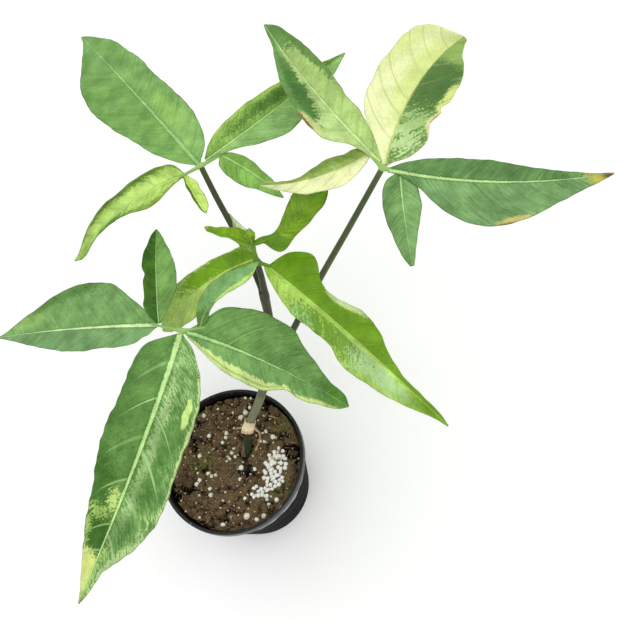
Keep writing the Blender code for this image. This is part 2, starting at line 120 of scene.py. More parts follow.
def add_node(tree: Tree, kind: str, inputs: dict | tuple = (), **settings: Any) -> Node:
    """Add a node with its settings, its values and its links.

    Args:
        tree: the tree that the node goes into.
        kind: the node's type name.
        inputs: the inputs by name or number, or a row of them in the node's own order. Each is a
            value, or the socket or node to link from, and a node stands for its first output.
        settings: the node's own properties.

    Returns:
        The new node.
    """
    node = tree.nodes.new(kind)
    for name, value in settings.items():
        setattr(node, name, value)
    for key, value in inputs.items() if isinstance(inputs, dict) else enumerate(inputs):
        if isinstance(value, Node):
            value = value.outputs[0]
        if isinstance(value, bpy.types.NodeSocket):
            tree.links.new(value, node.inputs[key])
        else:
            node.inputs[key].default_value = value
    return node


def start_material(name: str) -> tuple[Material, Tree]:
    """Make a material whose tree is empty.

    Args:
        name: the material's name.

    Returns:
        The material and its node tree.
    """
    material = bpy.data.materials.new(name)
    material.use_nodes = True
    material.node_tree.nodes.clear()
    return material, material.node_tree


def finish_material(tree: Tree, surface: dict, height: Source, depth: float) -> None:
    """Close a material with a Principled shader and its bump.

    Args:
        tree: the material's tree.
        surface: what goes into the shader's inputs.
        height: what the bump reads.
        depth: the bump's depth in millimetres.
    """
    bump = add_node(tree, "ShaderNodeBump", {"Height": height, "Strength": 1.0, "Distance": depth * MM})
    shader = add_node(tree, "ShaderNodeBsdfPrincipled", {**surface, "Normal": bump})
    add_node(tree, "ShaderNodeOutputMaterial", {"Surface": shader})


def lay_colours(tree: Tree, colour: Any, layers: Any) -> Any:
    """Mix colours over a first one, each through its own mask.

    Args:
        tree: the material's tree.
        colour: the first colour, in hex or as the socket that carries it.
        layers: each layer's mask and colour, from the lowest to the highest.

    Returns:
        The socket that carries the result.
    """
    for mask, code in layers:
        first, second = (linear_colour(tone) if isinstance(tone, str) else tone for tone in (colour, code))
        mixed = add_node(tree, "ShaderNodeMix", {0: mask, 6: first, 7: second}, data_type="RGBA")
        colour = mixed.outputs[2]
    return colour


def add_object(name: str, data: Any) -> Piece:
    """Add an object to the scene.

    Args:
        name: the object's name.
        data: its mesh, light or camera.

    Returns:
        The new object.
    """
    thing = bpy.data.objects.new(name, data)
    bpy.context.scene.collection.objects.link(thing)
    return thing


def make_mesh(name: str, points: Any, edges: list, faces: list) -> bpy.types.Mesh:
    """Make a mesh from points in millimetres.

    Args:
        name: the mesh's name.
        points: one row of x, y, z for each point.
        edges: the point numbers of each loose edge.
        faces: the point numbers of each face.

    Returns:
        The new mesh.
    """
    mesh = bpy.data.meshes.new(name)
    mesh.from_pydata((np.asarray(points, float) * MM).tolist(), edges, faces)
    return mesh


def mesh_object(name: str, points: Any, faces: list) -> Piece:
    """Make a smooth-shaded mesh object from points in millimetres.

    Args:
        name: the object's name.
        points: one row of x, y, z for each point.
        faces: the point numbers of each face.

    Returns:
        The new object, linked to the scene.
    """
    mesh = make_mesh(name, points, [], faces)
    mesh.shade_smooth()
    return add_object(name, mesh)


def store_values(mesh: bpy.types.Mesh, name: str, values: Any) -> None:
    """Keep a number or a vector at each point of a mesh.

    Args:
        mesh: the mesh.
        name: the attribute's name.
        values: one number or one row of three for each point.
    """
    values = np.asarray(values, np.float32)
    kind, key = ("FLOAT", "value") if values.ndim == 1 else ("FLOAT_VECTOR", "vector")
    attribute = mesh.attributes.new(name, kind, "POINT")
    attribute.data.foreach_set(key, values.ravel())


def seat_piece(piece: Piece, slot: Slot, *nodes: str) -> None:
    """Give a finished piece its body, and hide the solids that it stands for.

    Args:
        piece: the finished piece.
        slot: the piece's material slot; not used.
        nodes: the names of the solids that it replaces.
    """
    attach(piece, BODY)
    if nodes:
        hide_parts(*nodes)
    log.info("%s: %d faces, for %s", piece.name, len(piece.data.polygons), nodes or "nothing")


def join_pieces(pieces: list[Piece]) -> Piece:
    """Join objects into the first one, with their materials and attributes.

    Args:
        pieces: the objects.

    Returns:
        The first object, now holding all of them.
    """
    with bpy.context.temp_override(active_object=pieces[0], selected_editable_objects=pieces):
        bpy.ops.object.join()
    return pieces[0]


def curve_between(t: Any, start: Any, end: Any, leave: Any, arrive: Any) -> Any:
    """A cubic curve from one value to the next.

    Args:
        t: the place between them, 0 to 1.
        start: the first value.
        end: the second value.
        leave: the slope at the first value.
        arrive: the slope at the second value.

    Returns:
        The value at the place.
    """
    return (
        (2 * t ** 3 - 3 * t ** 2 + 1) * start + (t ** 3 - 2 * t ** 2 + t) * leave
        + (3 * t ** 2 - 2 * t ** 3) * end + (t ** 3 - t ** 2) * arrive
    )


def smooth_path(points: tuple[Point, ...], spacing: float) -> np.ndarray:
    """Points along a smooth curve through the given points, about a spacing apart.

    Args:
        points: the points to pass through, in millimetres.
        spacing: the distance between points of the result.

    Returns:
        One row of x, y, z for each point.
    """
    knots = np.array(points, float)
    chords = np.diff(knots, axis=0)
    spans = np.linalg.norm(chords, axis=1)
    chords /= spans[:, None]
    tangents = [chords[0]]
    for before, after, first, second in zip(spans, spans[1:], chords, chords[1:]):
        tangents.append((first * after + second * before) / (before + after))
    tangents.append(chords[-1])
    path = []
    for index, span in enumerate(spans):
        steps = max(2, round(span / spacing))
        ends = (knots[index], knots[index + 1], span * tangents[index], span * tangents[index + 1])
        path += [curve_between(step / steps, *ends) for step in range(steps)]
    path.append(knots[-1])
    return np.array(path)


def smooth_values(places: np.ndarray, values: np.ndarray, at: np.ndarray) -> np.ndarray:
    """Values at given places, smooth through the stated ones.

    Args:
        places: the rising places of the stated values.
        values: the stated values.
        at: the places that values are wanted for.

    Returns:
        A value for each wanted place.
    """
    slopes = np.gradient(values, places)
    slopes[1:-1] = (values[2:] - values[:-2]) / (places[2:] - places[:-2])
    low = np.clip(np.searchsorted(places, at, side="right") - 1, 0, len(places) - 2)
    high = low + 1
    span = places[high] - places[low]
    return curve_between(
        (at - places[low]) / span, values[low], values[high], slopes[low] * span, slopes[high] * span,
    )


def smooth_step(value: Any, low: float, high: float) -> Any:
    """Rise smoothly from 0 at the low value to 1 at the high one."""
    t = np.clip((value - low) / (high - low), 0, 1)
    return t * t * (3 - 2 * t)


def ripple(place: Any, seed: Any, waves: tuple[float, ...]) -> Any:
    """Add a few sine waves into an irregular line that stays between about -1 and 1.

    Args:
        place: positions along the line, 0 to 1.
        seed: shifts the waves against each other.
        waves: how often each wave turns along the line.

    Returns:
        The line's height at each position.
    """
    total = np.zeros_like(place)
    for index, count in enumerate(waves):
        total += np.sin(math.tau * (count * place + seed * (1.7 + index * 0.61))) / len(waves)
    return total


# Geometry node trees


def start_tree(name: str, kinds: dict[str, str]) -> tuple[Tree, Any]:
    """Start a geometry tree with a geometry input, named inputs and a geometry output.

    Args:
        name: the tree's name.
        kinds: the kind of each named input.

    Returns:
        The tree and the sockets of its inputs.
    """
    tree = bpy.data.node_groups.new(name, "GeometryNodeTree")
    for label, kind in {"Geometry": "Geometry", **kinds}.items():
        tree.interface.new_socket(name=label, in_out="INPUT", socket_type=f"NodeSocket{kind}")
    tree.interface.new_socket(name="Geometry", in_out="OUTPUT", socket_type="NodeSocketGeometry")
    return tree, add_node(tree, "NodeGroupInput").outputs


def close_tree(tree: Tree, shape: Source, material: Source) -> None:
    """End a geometry tree: realise the instances, set the material and send it out.

    Args:
        tree: the tree.
        shape: what carries the geometry.
        material: what carries the material.
    """
    real = add_node(tree, "GeometryNodeRealizeInstances", (shape,))
    dressed = add_node(tree, "GeometryNodeSetMaterial", {"Geometry": real, "Material": material})
    add_node(tree, "NodeGroupOutput", (dressed,))


def shoot_tree() -> Tree:
    """Tree that turns a line of points into a round shoot with a shallow groove along it."""
    tree, given = start_tree("shoot", {"Sides": "Int", "Groove": "Float", "Material": "Material"})
    line = add_node(tree, "GeometryNodeMeshToCurve", {"Mesh": given["Geometry"]})
    place = add_node(tree, "GeometryNodeSplineParameter").outputs
    marked = add_node(tree, "GeometryNodeStoreNamedAttribute", {
        "Geometry": line, "Name": "along", "Value": place["Length"],
    }, data_type="FLOAT", domain="POINT")
    ring = add_node(tree, "GeometryNodeCurvePrimitiveCircle", {"Resolution": given["Sides"], "Radius": 1.0})
    around = add_node(tree, "GeometryNodeStoreNamedAttribute", {
        "Geometry": ring, "Name": "around", "Value": place["Factor"],
    }, data_type="FLOAT", domain="POINT")
    # The groove lies a quarter of the way round, and takes a seventh of a turn on each side
    off_groove = add_node(tree, MATH, (place["Factor"], 0.25), operation="SUBTRACT")
    away = add_node(tree, MATH, (off_groove,), operation="ABSOLUTE")
    dip = add_node(tree, MAP_RANGE, (away, 0.14, 0.0, 0.0, given["Groove"]), **SOFT)
    spot = add_node(tree, "GeometryNodeInputPosition")
    inward = add_node(tree, MATH, (dip, -1.0), operation="MULTIPLY")
    push = add_node(tree, VECTOR_MATH, {0: spot, "Scale": inward}, operation="SCALE")
    grooved = add_node(tree, "GeometryNodeSetPosition", {"Geometry": around, "Offset": push})
    reach = add_node(tree, "GeometryNodeInputNamedAttribute", {"Name": "reach"}, data_type="FLOAT")
    skin = add_node(tree, "GeometryNodeCurveToMesh", {
        "Curve": marked, "Profile Curve": grooved, "Scale": reach, "Fill Caps": True,
    })
    close_tree(tree, skin, given["Material"])
    return tree


def grain_tree(placed: bool) -> Tree:
    """Tree that strews lumpy grains over a surface, or sets one on each point of a mesh.

    Args:
        placed: True for grains on the mesh's own points, sized by its "size" attribute.

    Returns:
        The tree.
    """
    tree, given = start_tree("placed grains" if placed else "strewn grains", {
        "Where": "String", "Gap": "Float", "Smallest": "Float", "Largest": "Float", "Shape": "Vector",
        "Lumps": "Float", "Lift": "Float", "Detail": "Int", "Seed": "Int", "Material": "Material",
    })
    if placed:
        spots = add_node(tree, "GeometryNodeMeshToPoints", {"Mesh": given["Geometry"]})
        size = add_node(tree, "GeometryNodeInputNamedAttribute", {"Name": "size"}, data_type="FLOAT")
        up: Any = (0.0, 0.0, 1.0)
    else:
        mask = add_node(tree, "GeometryNodeInputNamedAttribute", {
            "Name": given["Where"],
        }, data_type="FLOAT")
        # The density is past what the gap lets in, so the gap alone sets how many grains there are
        spots = add_node(tree, "GeometryNodeDistributePointsOnFaces", {
            "Mesh": given["Geometry"], "Distance Min": given["Gap"], "Density Max": 4e6,
            "Density Factor": mask, "Seed": given["Seed"],
        }, distribute_method="POISSON")
        draw = add_node(tree, "FunctionNodeRandomValue", {
            2: 0.0, 3: 1.0, "Seed": given["Seed"],
        }, data_type="FLOAT")
        few_large = add_node(tree, MATH, (draw.outputs[1], 2.2), operation="POWER")
        size = add_node(tree, MAP_RANGE, (few_large, 0.0, 1.0, given["Smallest"], given["Largest"]))
        up = spots.outputs["Normal"]
    raised = add_node(tree, VECTOR_MATH, {0: up, "Scale": given["Lift"]}, operation="SCALE")
    set_up = add_node(tree, "GeometryNodeSetPosition", {"Geometry": spots, "Offset": raised})
    grain = add_node(tree, "GeometryNodeMeshIcoSphere", {"Radius": 1.0, "Subdivisions": given["Detail"]})
    turn = add_node(tree, "FunctionNodeRandomValue", {
        0: (0.0, 0.0, 0.0), 1: (math.tau, math.tau, math.tau), "Seed": given["Seed"],
    }, data_type="FLOAT_VECTOR")
    stretch = add_node(tree, VECTOR_MATH, {0: given["Shape"], "Scale": size}, operation="SCALE")
    strewn = add_node(tree, "GeometryNodeInstanceOnPoints", {
        "Points": set_up, "Instance": grain, "Rotation": turn, "Scale": stretch,
    })
    tint = add_node(tree, "FunctionNodeRandomValue", {2: 0.0, 3: 1.0, "Seed": 91}, data_type="FLOAT")
    tinted = add_node(tree, "GeometryNodeStoreNamedAttribute", {
        "Geometry": strewn, "Name": "tint", "Value": tint.outputs[1],
    }, data_type="FLOAT", domain="INSTANCE")
    real = add_node(tree, "GeometryNodeRealizeInstances", (tinted,))
    # Lumps about 1.5 mm across
    rough = add_node(tree, NOISE, {"Scale": 620.0, "Detail": 1.0})
    centred = add_node(tree, VECTOR_MATH, (rough.outputs["Color"], (0.5, 0.5, 0.5)), operation="SUBTRACT")
    shove = add_node(tree, VECTOR_MATH, {0: centred, "Scale": given["Lumps"]}, operation="SCALE")
    lumpy = add_node(tree, "GeometryNodeSetPosition", {"Geometry": real, "Offset": shove})
    close_tree(tree, lumpy, given["Material"])
    return tree


def grow(thing: Piece, tree: Tree, values: dict[str, Any]) -> Piece:
    """Run a geometry tree on an object and keep the result as its plain mesh.

    Args:
        thing: the object whose mesh the tree reads.
        tree: the geometry tree.
        values: what each named input is set to.

    Returns:
        The object, with the new mesh and no modifier.
    """
    modifier = thing.modifiers.new(tree.name, "NODES")
    modifier.node_group = tree
    for item in tree.interface.items_tree:
        if item.in_out == "INPUT" and item.name in values:
            modifier[item.identifier] = values[item.name]
    graph = bpy.context.evaluated_depsgraph_get()
    grown = bpy.data.meshes.new_from_object(
        thing.evaluated_get(graph), preserve_all_data_layers=True, depsgraph=graph,
    )
    thing.modifiers.remove(modifier)
    thing.data = grown
    grown.shade_smooth()
    return thing


# Finishes


@dataclass(frozen=True)
class Marking:
    """A patch of colour on a blade, placed by shares of its length and half width."""

    colour: str
    s: float
    v: float
    reach_s: float
    reach_v: float
    side: Side = BOTH
    soft: float = 0.3
    ragged: float = 0.5
    amount: float = 1.0


@dataclass(frozen=True)
class BladeFinish:
    """Living leaf skin: waxy and satin, with pale ribs and the marbling of a variegated plant.

    Pairs are for the left and the right half, seen from the base towards the tip.
    """

    left: str
    right: str
    left_fleck: str
    right_fleck: str
    flecks: tuple[float, float] = (0.35, 0.35)
    shade: str = "#4f7f3a"
    shades: tuple[float, float] = (0.3, 0.3)
    rib: str = "#a9d487"
    rib_width: float = 1.0
    rib_end: float = 1.0
    vein: str = "#a3cc80"
    veins: tuple[float, float] = (0.35, 0.35)
    vein_width: float = 0.6
    edge: str = "#55803c"
    edge_amount: float = 0.5
    underside: str = "#b4cf98"
    streak: tuple[float, float] = (1.3, 9.0)
    crisp: float = 0.0
    tones: tuple[float, float] = (0.75, 1.12)
    markings: tuple[Marking, ...] = ()
    roughness: float = 0.42
    seed: float = 0.0

    def skin(self, name: str, spacing: float) -> Material:
        """Build the blade's material.

        Args:
            name: the leaflet's name.
            spacing: the distance between side veins, in millimetres.

        Returns:
            The material.
        """
        paint = BladePaint(self, name, spacing)
        paint.lay_streaks()
        paint.lay_markings()
        paint.lay_veins()
        paint.lay_margin()
        paint.lay_rib()
        paint.lay_underside()
        return paint.close()


class BladePaint:
    """One blade's material while it is made: the masks that its layers share, and the layers so far."""

    def __init__(self, finish: BladeFinish, name: str, spacing: float) -> None:
        """Read the blade's attributes and make the noise that the layers share.

        Args:
            finish: the blade's finish.
            name: the leaflet's name.
            spacing: the distance between side veins, in millimetres.
        """
        self.finish = finish
        self.spacing = spacing
        self.material, self.tree = start_material(f"leaf skin {name}")
        tree = self.tree
        self.layers: list[tuple[Source, Any]] = []
        self.blade = add_node(tree, ATTRIBUTE, attribute_name="blade").outputs["Vector"]
        self.measure = add_node(tree, ATTRIBUTE, attribute_name="measure").outputs["Vector"]
        self.along, across, self.phase = add_node(tree, "ShaderNodeSeparateXYZ", (self.blade,)).outputs
        self.run, self.reach, self.face = add_node(tree, "ShaderNodeSeparateXYZ", (self.measure,)).outputs
        self.off_line = add_node(tree, MATH, (across,), operation="ABSOLUTE")
        self.half = add_node(tree, MAP_RANGE, (across, -0.015, 0.015))
        self.grain, self.cloud, self.light_streak, self.dark_streak = self.noises()
        both = add_node(tree, MATH, (self.light_streak, self.grain), operation="ADD")
        marble = add_node(tree, MATH, (both, 0.5), operation="MULTIPLY")
        self.rough = add_node(tree, MATH, (marble, 0.5), operation="SUBTRACT")

    def noises(self) -> list[Node]:
        """Noise for the grain, the slow change of tone, and the light and the dark streaks."""
        tree, finish = self.tree, self.finish
        # Marbling runs outward with the side veins, in streaks that are a little over 1 mm wide
        streak = (self.spacing / finish.streak[0], 1 / finish.streak[1], 1.0)
        noises = []
        for first, second, scale, detail in (
            (self.run, finish.seed, (0.7, 0.7, 1.0), 3.0),
            (self.run, finish.seed, (0.08, 0.08, 1.0), 2.0),
            (self.phase, finish.seed, streak, 3.0),
            (self.phase, finish.seed + 7.0, streak, 3.0),
        ):
            spot = add_node(tree, "ShaderNodeCombineXYZ", (first, self.reach, second))
            scaled = add_node(tree, VECTOR_MATH, (spot, scale), operation="MULTIPLY")
            noises.append(add_node(tree, NOISE, {
                "Vector": scaled, "Scale": 1.0, "Detail": detail, "Roughness": 0.6,
            }))
        return noises

    def halves(self, left: str, right: str) -> Source:
        """A colour for each half of the blade."""
        return lay_colours(self.tree, left, [(self.half, right)])

    def lay_streaks(self) -> None:
        """Lay the dark and the light streaks, gathered where a second noise is high."""
        tree, finish = self.tree, self.finish
        blur = 0.17 - 0.12 * finish.crisp
        fleck = self.halves(finish.left_fleck, finish.right_fleck)
        for streak, second, amounts, colour in (
            (self.dark_streak, self.grain, finish.shades, finish.shade),
            (self.light_streak, self.cloud, finish.flecks, fleck),
        ):
            gathered = add_node(tree, MATH, (second, 0.5, streak), operation="MULTIPLY_ADD")
            limit = add_node(tree, MAP_RANGE, (
                self.half, 0.0, 1.0, 0.93 - 0.36 * amounts[0], 0.93 - 0.36 * amounts[1],
            ))
            above = add_node(tree, MATH, (gathered, limit), operation="SUBTRACT")
            mask = add_node(tree, MAP_RANGE, (above, -blur, blur, 0.0, 0.55 + 0.35 * finish.crisp), **SOFT)
            self.layers.append((mask, colour))

    def lay_markings(self) -> None:
        """Lay the patches of colour, ragged along the side veins."""
        tree = self.tree
        other_half = add_node(tree, MATH, (1.0, self.half), operation="SUBTRACT")
        for marking in self.finish.markings:
            middle = (marking.s, marking.v, 0.0)
            scale = (1 / marking.reach_s, 1 / marking.reach_v, 0.0)
            shifted = add_node(tree, VECTOR_MATH, (self.blade, middle), operation="SUBTRACT")
            scaled = add_node(tree, VECTOR_MATH, (shifted, scale), operation="MULTIPLY")
            distance = add_node(tree, VECTOR_MATH, (scaled,), operation="LENGTH")
            frayed = add_node(tree, MATH, (
                self.rough, -3 * marking.ragged, distance.outputs["Value"],
            ), operation="MULTIPLY_ADD")
            mask = add_node(tree, MAP_RANGE, (
                frayed, 1 + marking.soft, 1 - marking.soft, 0.0, marking.amount,
            ), **SOFT)
            if marking.side is not BOTH:
                keep = self.half if marking.side is RIGHT else other_half
                mask = add_node(tree, MATH, (mask, keep), operation="MULTIPLY")
            self.layers.append((mask, marking.colour))

    def lay_veins(self) -> None:
        """Lay the side veins: each has its own strength and a flank of painted shade beside its furrow, and
        thins out to the margin.
        """
        tree, finish = self.tree, self.finish
        shifted = add_node(tree, MATH, (self.phase, 0.5), operation="ADD")
        number = add_node(tree, MATH, (shifted,), operation="FLOOR")
        named = add_node(tree, MATH, (self.half, 17.0, number), operation="MULTIPLY_ADD")
        draw = add_node(tree, "ShaderNodeTexWhiteNoise", {"W": named}, noise_dimensions="1D")
        turn = add_node(tree, MATH, (shifted,), operation="FRACT")
        off_vein = add_node(tree, MATH, (turn, 0.5), operation="SUBTRACT")
        gap = add_node(tree, MATH, (off_vein,), operation="ABSOLUTE")
        frayed = add_node(tree, MATH, (self.rough, 0.8 / self.spacing, gap), operation="MULTIPLY_ADD")
        reach = add_node(tree, MAP_RANGE, (
            self.off_line, 0.0, 1.0, finish.vein_width * 1.5 / self.spacing,
            finish.vein_width * 0.5 / self.spacing,
        ))
        self.vein_ratio = add_node(tree, MATH, (frayed, reach), operation="DIVIDE")
        strength = add_node(tree, MAP_RANGE, (self.half, 0.0, 1.0, finish.veins[0], finish.veins[1]))
        own = add_node(tree, MAP_RANGE, (draw, 0.0, 1.0, 0.35, 1.25))
        power = add_node(tree, MATH, (strength, own), operation="MULTIPLY")
        fade = add_node(tree, MAP_RANGE, (self.off_line, 0.95, 0.5), **SOFT)
        shown = add_node(tree, MATH, (power, fade), operation="MULTIPLY")
        # First a flank of painted shade beside each vein's furrow, then the pale vein itself
        for low, high, share, code in ((3.6, 1.3, 0.35, finish.shade), (1.25, 0.4, 1.0, finish.vein)):
            line = add_node(tree, MAP_RANGE, (self.vein_ratio, low, high, 0.0, share), **SOFT)
            vein = add_node(tree, MATH, (line, shown), operation="MULTIPLY", use_clamp=True)
            self.layers.append((vein, code))

    def lay_margin(self) -> None:
        """Lay the margin, a line half a millimetre wide."""
        inset = add_node(self.tree, ATTRIBUTE, attribute_name="inset")
        margin = add_node(self.tree, MAP_RANGE, (
            inset.outputs["Fac"], 0.8, 0.15, 0.0, self.finish.edge_amount,
        ), **SOFT)
        self.layers.append((margin, self.finish.edge))

    def lay_rib(self) -> None:
        """Lay the rib, which narrows to the tip between flanks of painted shade and has a frayed outline."""
        tree, finish = self.tree, self.finish
        off_rib = add_node(tree, MATH, (self.reach,), operation="ABSOLUTE")
        half_width = add_node(tree, MAP_RANGE, (self.along, 0.0, finish.rib_end, finish.rib_width, 0.1))
        clean = add_node(tree, MATH, (off_rib, half_width), operation="DIVIDE")
        ratio = add_node(tree, MATH, (self.rough, 2.2, clean), operation="MULTIPLY_ADD")
        # First the painted shade beside the rib's furrow, then the pale rib itself
        for low, high, share, code in ((2.6, 1.2, 0.45, finish.shade), (1.1, 0.6, 1.0, finish.rib)):
            line = add_node(tree, MAP_RANGE, (ratio, low, high, 0.0, share), **SOFT)
            self.layers.append((line, code))

    def lay_underside(self) -> None:
        """Lay a paler tone on the underside."""
        below = add_node(self.tree, MAP_RANGE, (self.face, 0.3, -0.3, 0.0, 0.4))
        self.layers.append((below, self.finish.underside))

    def close(self) -> Material:
        """Mix the layers and close the material with its tones, its gloss and its relief.

        Returns:
            The material.
        """
        tree, finish = self.tree, self.finish
        paint = lay_colours(tree, self.halves(finish.left, finish.right), self.layers)
        # Slow changes of tone over the blade, 13 mm across, and a net of cells 2.4 mm wide
        tone = add_node(tree, MAP_RANGE, (self.cloud, 0.3, 0.7, finish.tones[0], finish.tones[1]))
        cells = add_node(tree, "ShaderNodeTexVoronoi", {
            "Vector": self.measure, "Scale": 0.42, "Randomness": 1.0,
        }, feature="DISTANCE_TO_EDGE")
        net = add_node(tree, MAP_RANGE, (cells, 0.0, 0.16, 1.1, 1.0))
        scale = add_node(tree, MATH, (tone, net), operation="MULTIPLY")
        toned = add_node(tree, VECTOR_MATH, {0: paint, "Scale": scale}, operation="SCALE")
        # The hex colours are those of the lit leaf, so the sheen's share is taken off them
        matt = add_node(tree, VECTOR_MATH, (toned, (SHEEN_SHARE,) * 3), operation="SUBTRACT")
        kept = add_node(tree, VECTOR_MATH, (matt, (0.004,) * 3), operation="MAXIMUM")
        gloss = add_node(tree, MAP_RANGE, (
            self.grain, 0.0, 1.0, finish.roughness - 0.08, finish.roughness + 0.1,
        ))
        # Veins lie in furrows, and the cells between them stand up a little
        furrow = add_node(tree, MAP_RANGE, (self.vein_ratio, 2.5, 0.4, 0.0, -1.2), **SOFT)
        relief = add_node(tree, MATH, (cells, 1.6, furrow), operation="MULTIPLY_ADD")
        finish_material(tree, {
            "Base Color": kept, "Roughness": gloss, "IOR": 1.42, "Specular IOR Level": 0.3,
        }, relief, 0.25)
        return self.material


@dataclass(frozen=True)
class ShootFinish:
    """Living or dry bark of a shoot: satin skin with fine lengthwise lines, its colour in bands."""

    bands: tuple[tuple[float, str], ...]
    light: str
    dark: str
    lines: float = 0.35
    roughness: float = 0.5
    blur: float = 4.0
    depth: float = 0.12

    def skin(self, name: str) -> Material:
        """Build the shoot's material, its colours following its length.

        Args:
            name: the shoot's name.

        Returns:
            The material.
        """
        material, tree = start_material(f"shoot skin {name}")
        along = add_node(tree, ATTRIBUTE, attribute_name="along").outputs["Fac"]
        around = add_node(tree, ATTRIBUTE, attribute_name="around").outputs["Fac"]
        layers = []
        for place, code in self.bands[1:]:
            step = add_node(tree, MAP_RANGE, (
                along, (place - self.blur) * MM, (place + self.blur) * MM,
            ), **SOFT)
            layers.append((step, code))
        # Lengthwise lines: about 20 round the shoot, each some 8 mm long
        stretched = add_node(tree, "ShaderNodeCombineXYZ", (along, around))
        scaled = add_node(tree, VECTOR_MATH, (stretched, (120.0, 20.0, 1.0)), operation="MULTIPLY")
        lines = add_node(tree, NOISE, {"Vector": scaled, "Scale": 1.0, "Detail": 3.0, "Roughness": 0.6})
        for low, high, code in ((0.5, 0.72, self.light), (0.48, 0.28, self.dark)):
            mask = add_node(tree, MAP_RANGE, (lines, low, high, 0.0, self.lines), **SOFT)
            layers.append((mask, code))
        colour = lay_colours(tree, self.bands[0][1], layers)
        surface = {"Base Color": colour, "Roughness": self.roughness, "IOR": 1.42}
        finish_material(tree, surface, lines, self.depth)
        return material


@dataclass(frozen=True)
class PotFinish:
    """Moulded polypropylene with flow marks and dust, and a pale band of painted glare below the lip on one
    side.
    """

    name: str
    plastic: str
    dust: str
    dusty: float
    roughness: float
    sheen: float
    # The colour of the painted glare
    painted_glare_colour: str = "#bdbdc0"

    def skin(self) -> Material:
        """Build the plastic's material.

        Returns:
            The material.
        """
        material, tree = start_material(self.name)
        place = add_node(tree, "ShaderNodeTexCoord").outputs["Object"]
        # Flow marks run round the wall, some 6 mm apart in height
        flow_place = add_node(tree, VECTOR_MATH, (place, (18.0, 18.0, 170.0)), operation="MULTIPLY")
        flow = add_node(tree, NOISE, {"Vector": flow_place, "Scale": 1.0, "Detail": 3.0, "Roughness": 0.5})
        # Specks of dust and scuffs are 1 to 3 mm across
        specks = add_node(tree, NOISE, {"Vector": place, "Scale": 330.0, "Detail": 3.0, "Roughness": 0.7})
        limit = 0.78 - 0.3 * self.dusty
        dusty = add_node(tree, MAP_RANGE, (specks, limit, limit + 0.1, 0.0, 0.8), **SOFT)
        # A band of painted glare below the lip on one side, frayed by the flow marks
        painted_glare = add_node(tree, ATTRIBUTE, attribute_name="painted_glare").outputs["Fac"]
        frayed = add_node(tree, MATH, (flow, 0.8, painted_glare), operation="MULTIPLY_ADD")
        marked = add_node(tree, MAP_RANGE, (frayed, 0.7, 1.3, 0.0, 0.85), **SOFT)
        paint = lay_colours(tree, self.plastic, ((dusty, self.dust), (marked, self.painted_glare_colour)))
        gloss = add_node(tree, MAP_RANGE, (flow, 0.3, 0.7, self.roughness - 0.06, self.roughness + 0.1))
        finish_material(tree, {
            "Base Color": paint, "Roughness": gloss, "IOR": 1.49, "Specular IOR Level": self.sheen,
        }, flow, 0.06)
        return material


WALL_FINISH = PotFinish("dull black polypropylene", "#11100f", "#2e2c29", 0.4, 0.5, 0.008)
LIP_FINISH = PotFinish("worn grey-black polypropylene", "#1b1a1c", "#a9a6a8", 0.5, 0.34, 0.4)


@dataclass(frozen=True)
class SoilFinish:
    """Peat potting mix: matt dark fibre, red brown on its clods, green with moss, and black with painted
    shade in its hollows and shaded patches.
    """

    # Painted shade, for the hollows between clods and the shaded patches
    painted_shade: str = "#0f0b07"
    peat: str = "#7b684e"
    fibre: str = "#a67f5a"
    moss: str = "#75803a"

    def skin(self) -> Material:
        """Build the soil's material.

        Returns:
            The material.
        """
        material, tree = start_material("peat potting mix")
        place = add_node(tree, "ShaderNodeTexCoord").outputs["Object"]
        marks = add_node(tree, ATTRIBUTE, attribute_name="marks").outputs["Vector"]
        hollow, dry, green = add_node(tree, "ShaderNodeSeparateXYZ", (marks,)).outputs
        # Fibres lie in two directions, 0.5 mm wide and 5 mm long, and crumbs of moss are 1 mm across
        fibre, crumb = (2100.0, 260.0, 900.0), (900.0, 900.0, 900.0)
        masks = []
        for angle, scale, detail in ((0.5, fibre, 2.0), (-0.9, fibre, 2.0), (0.0, crumb, 3.0)):
            turned = add_node(tree, "ShaderNodeMapping", {
                "Vector": place, "Rotation": (0.0, 0.0, angle), "Scale": scale,
            }, vector_type="POINT")
            masks.append(add_node(tree, NOISE, {
                "Vector": turned, "Scale": 1.0, "Detail": detail, "Roughness": 0.6,
            }))
        strands = add_node(tree, MATH, (masks[0], masks[1]), operation="MAXIMUM")
        seen = add_node(tree, MAP_RANGE, (strands, 0.56, 0.68), **SOFT)
        share = add_node(tree, MAP_RANGE, (dry, 0.0, 1.0, 0.25, 0.9))
        fibres = add_node(tree, MATH, (seen, share), operation="MULTIPLY")
        crumbs = add_node(tree, MAP_RANGE, (masks[2], 0.42, 0.6), **SOFT)
        mossy = add_node(tree, MATH, (crumbs, green), operation="MULTIPLY")
        # The painted shade in the hollows goes over everything
        layers = ((fibres, self.fibre), (mossy, self.moss), (hollow, self.painted_shade))
        colour = lay_colours(tree, self.peat, layers)
        relief = add_node(tree, MATH, (strands, masks[2]), operation="ADD")
        finish_material(tree, {
            "Base Color": colour, "Roughness": 0.95, "IOR": 1.4, "Specular IOR Level": 0.2,
        }, relief, 0.7)
        return material


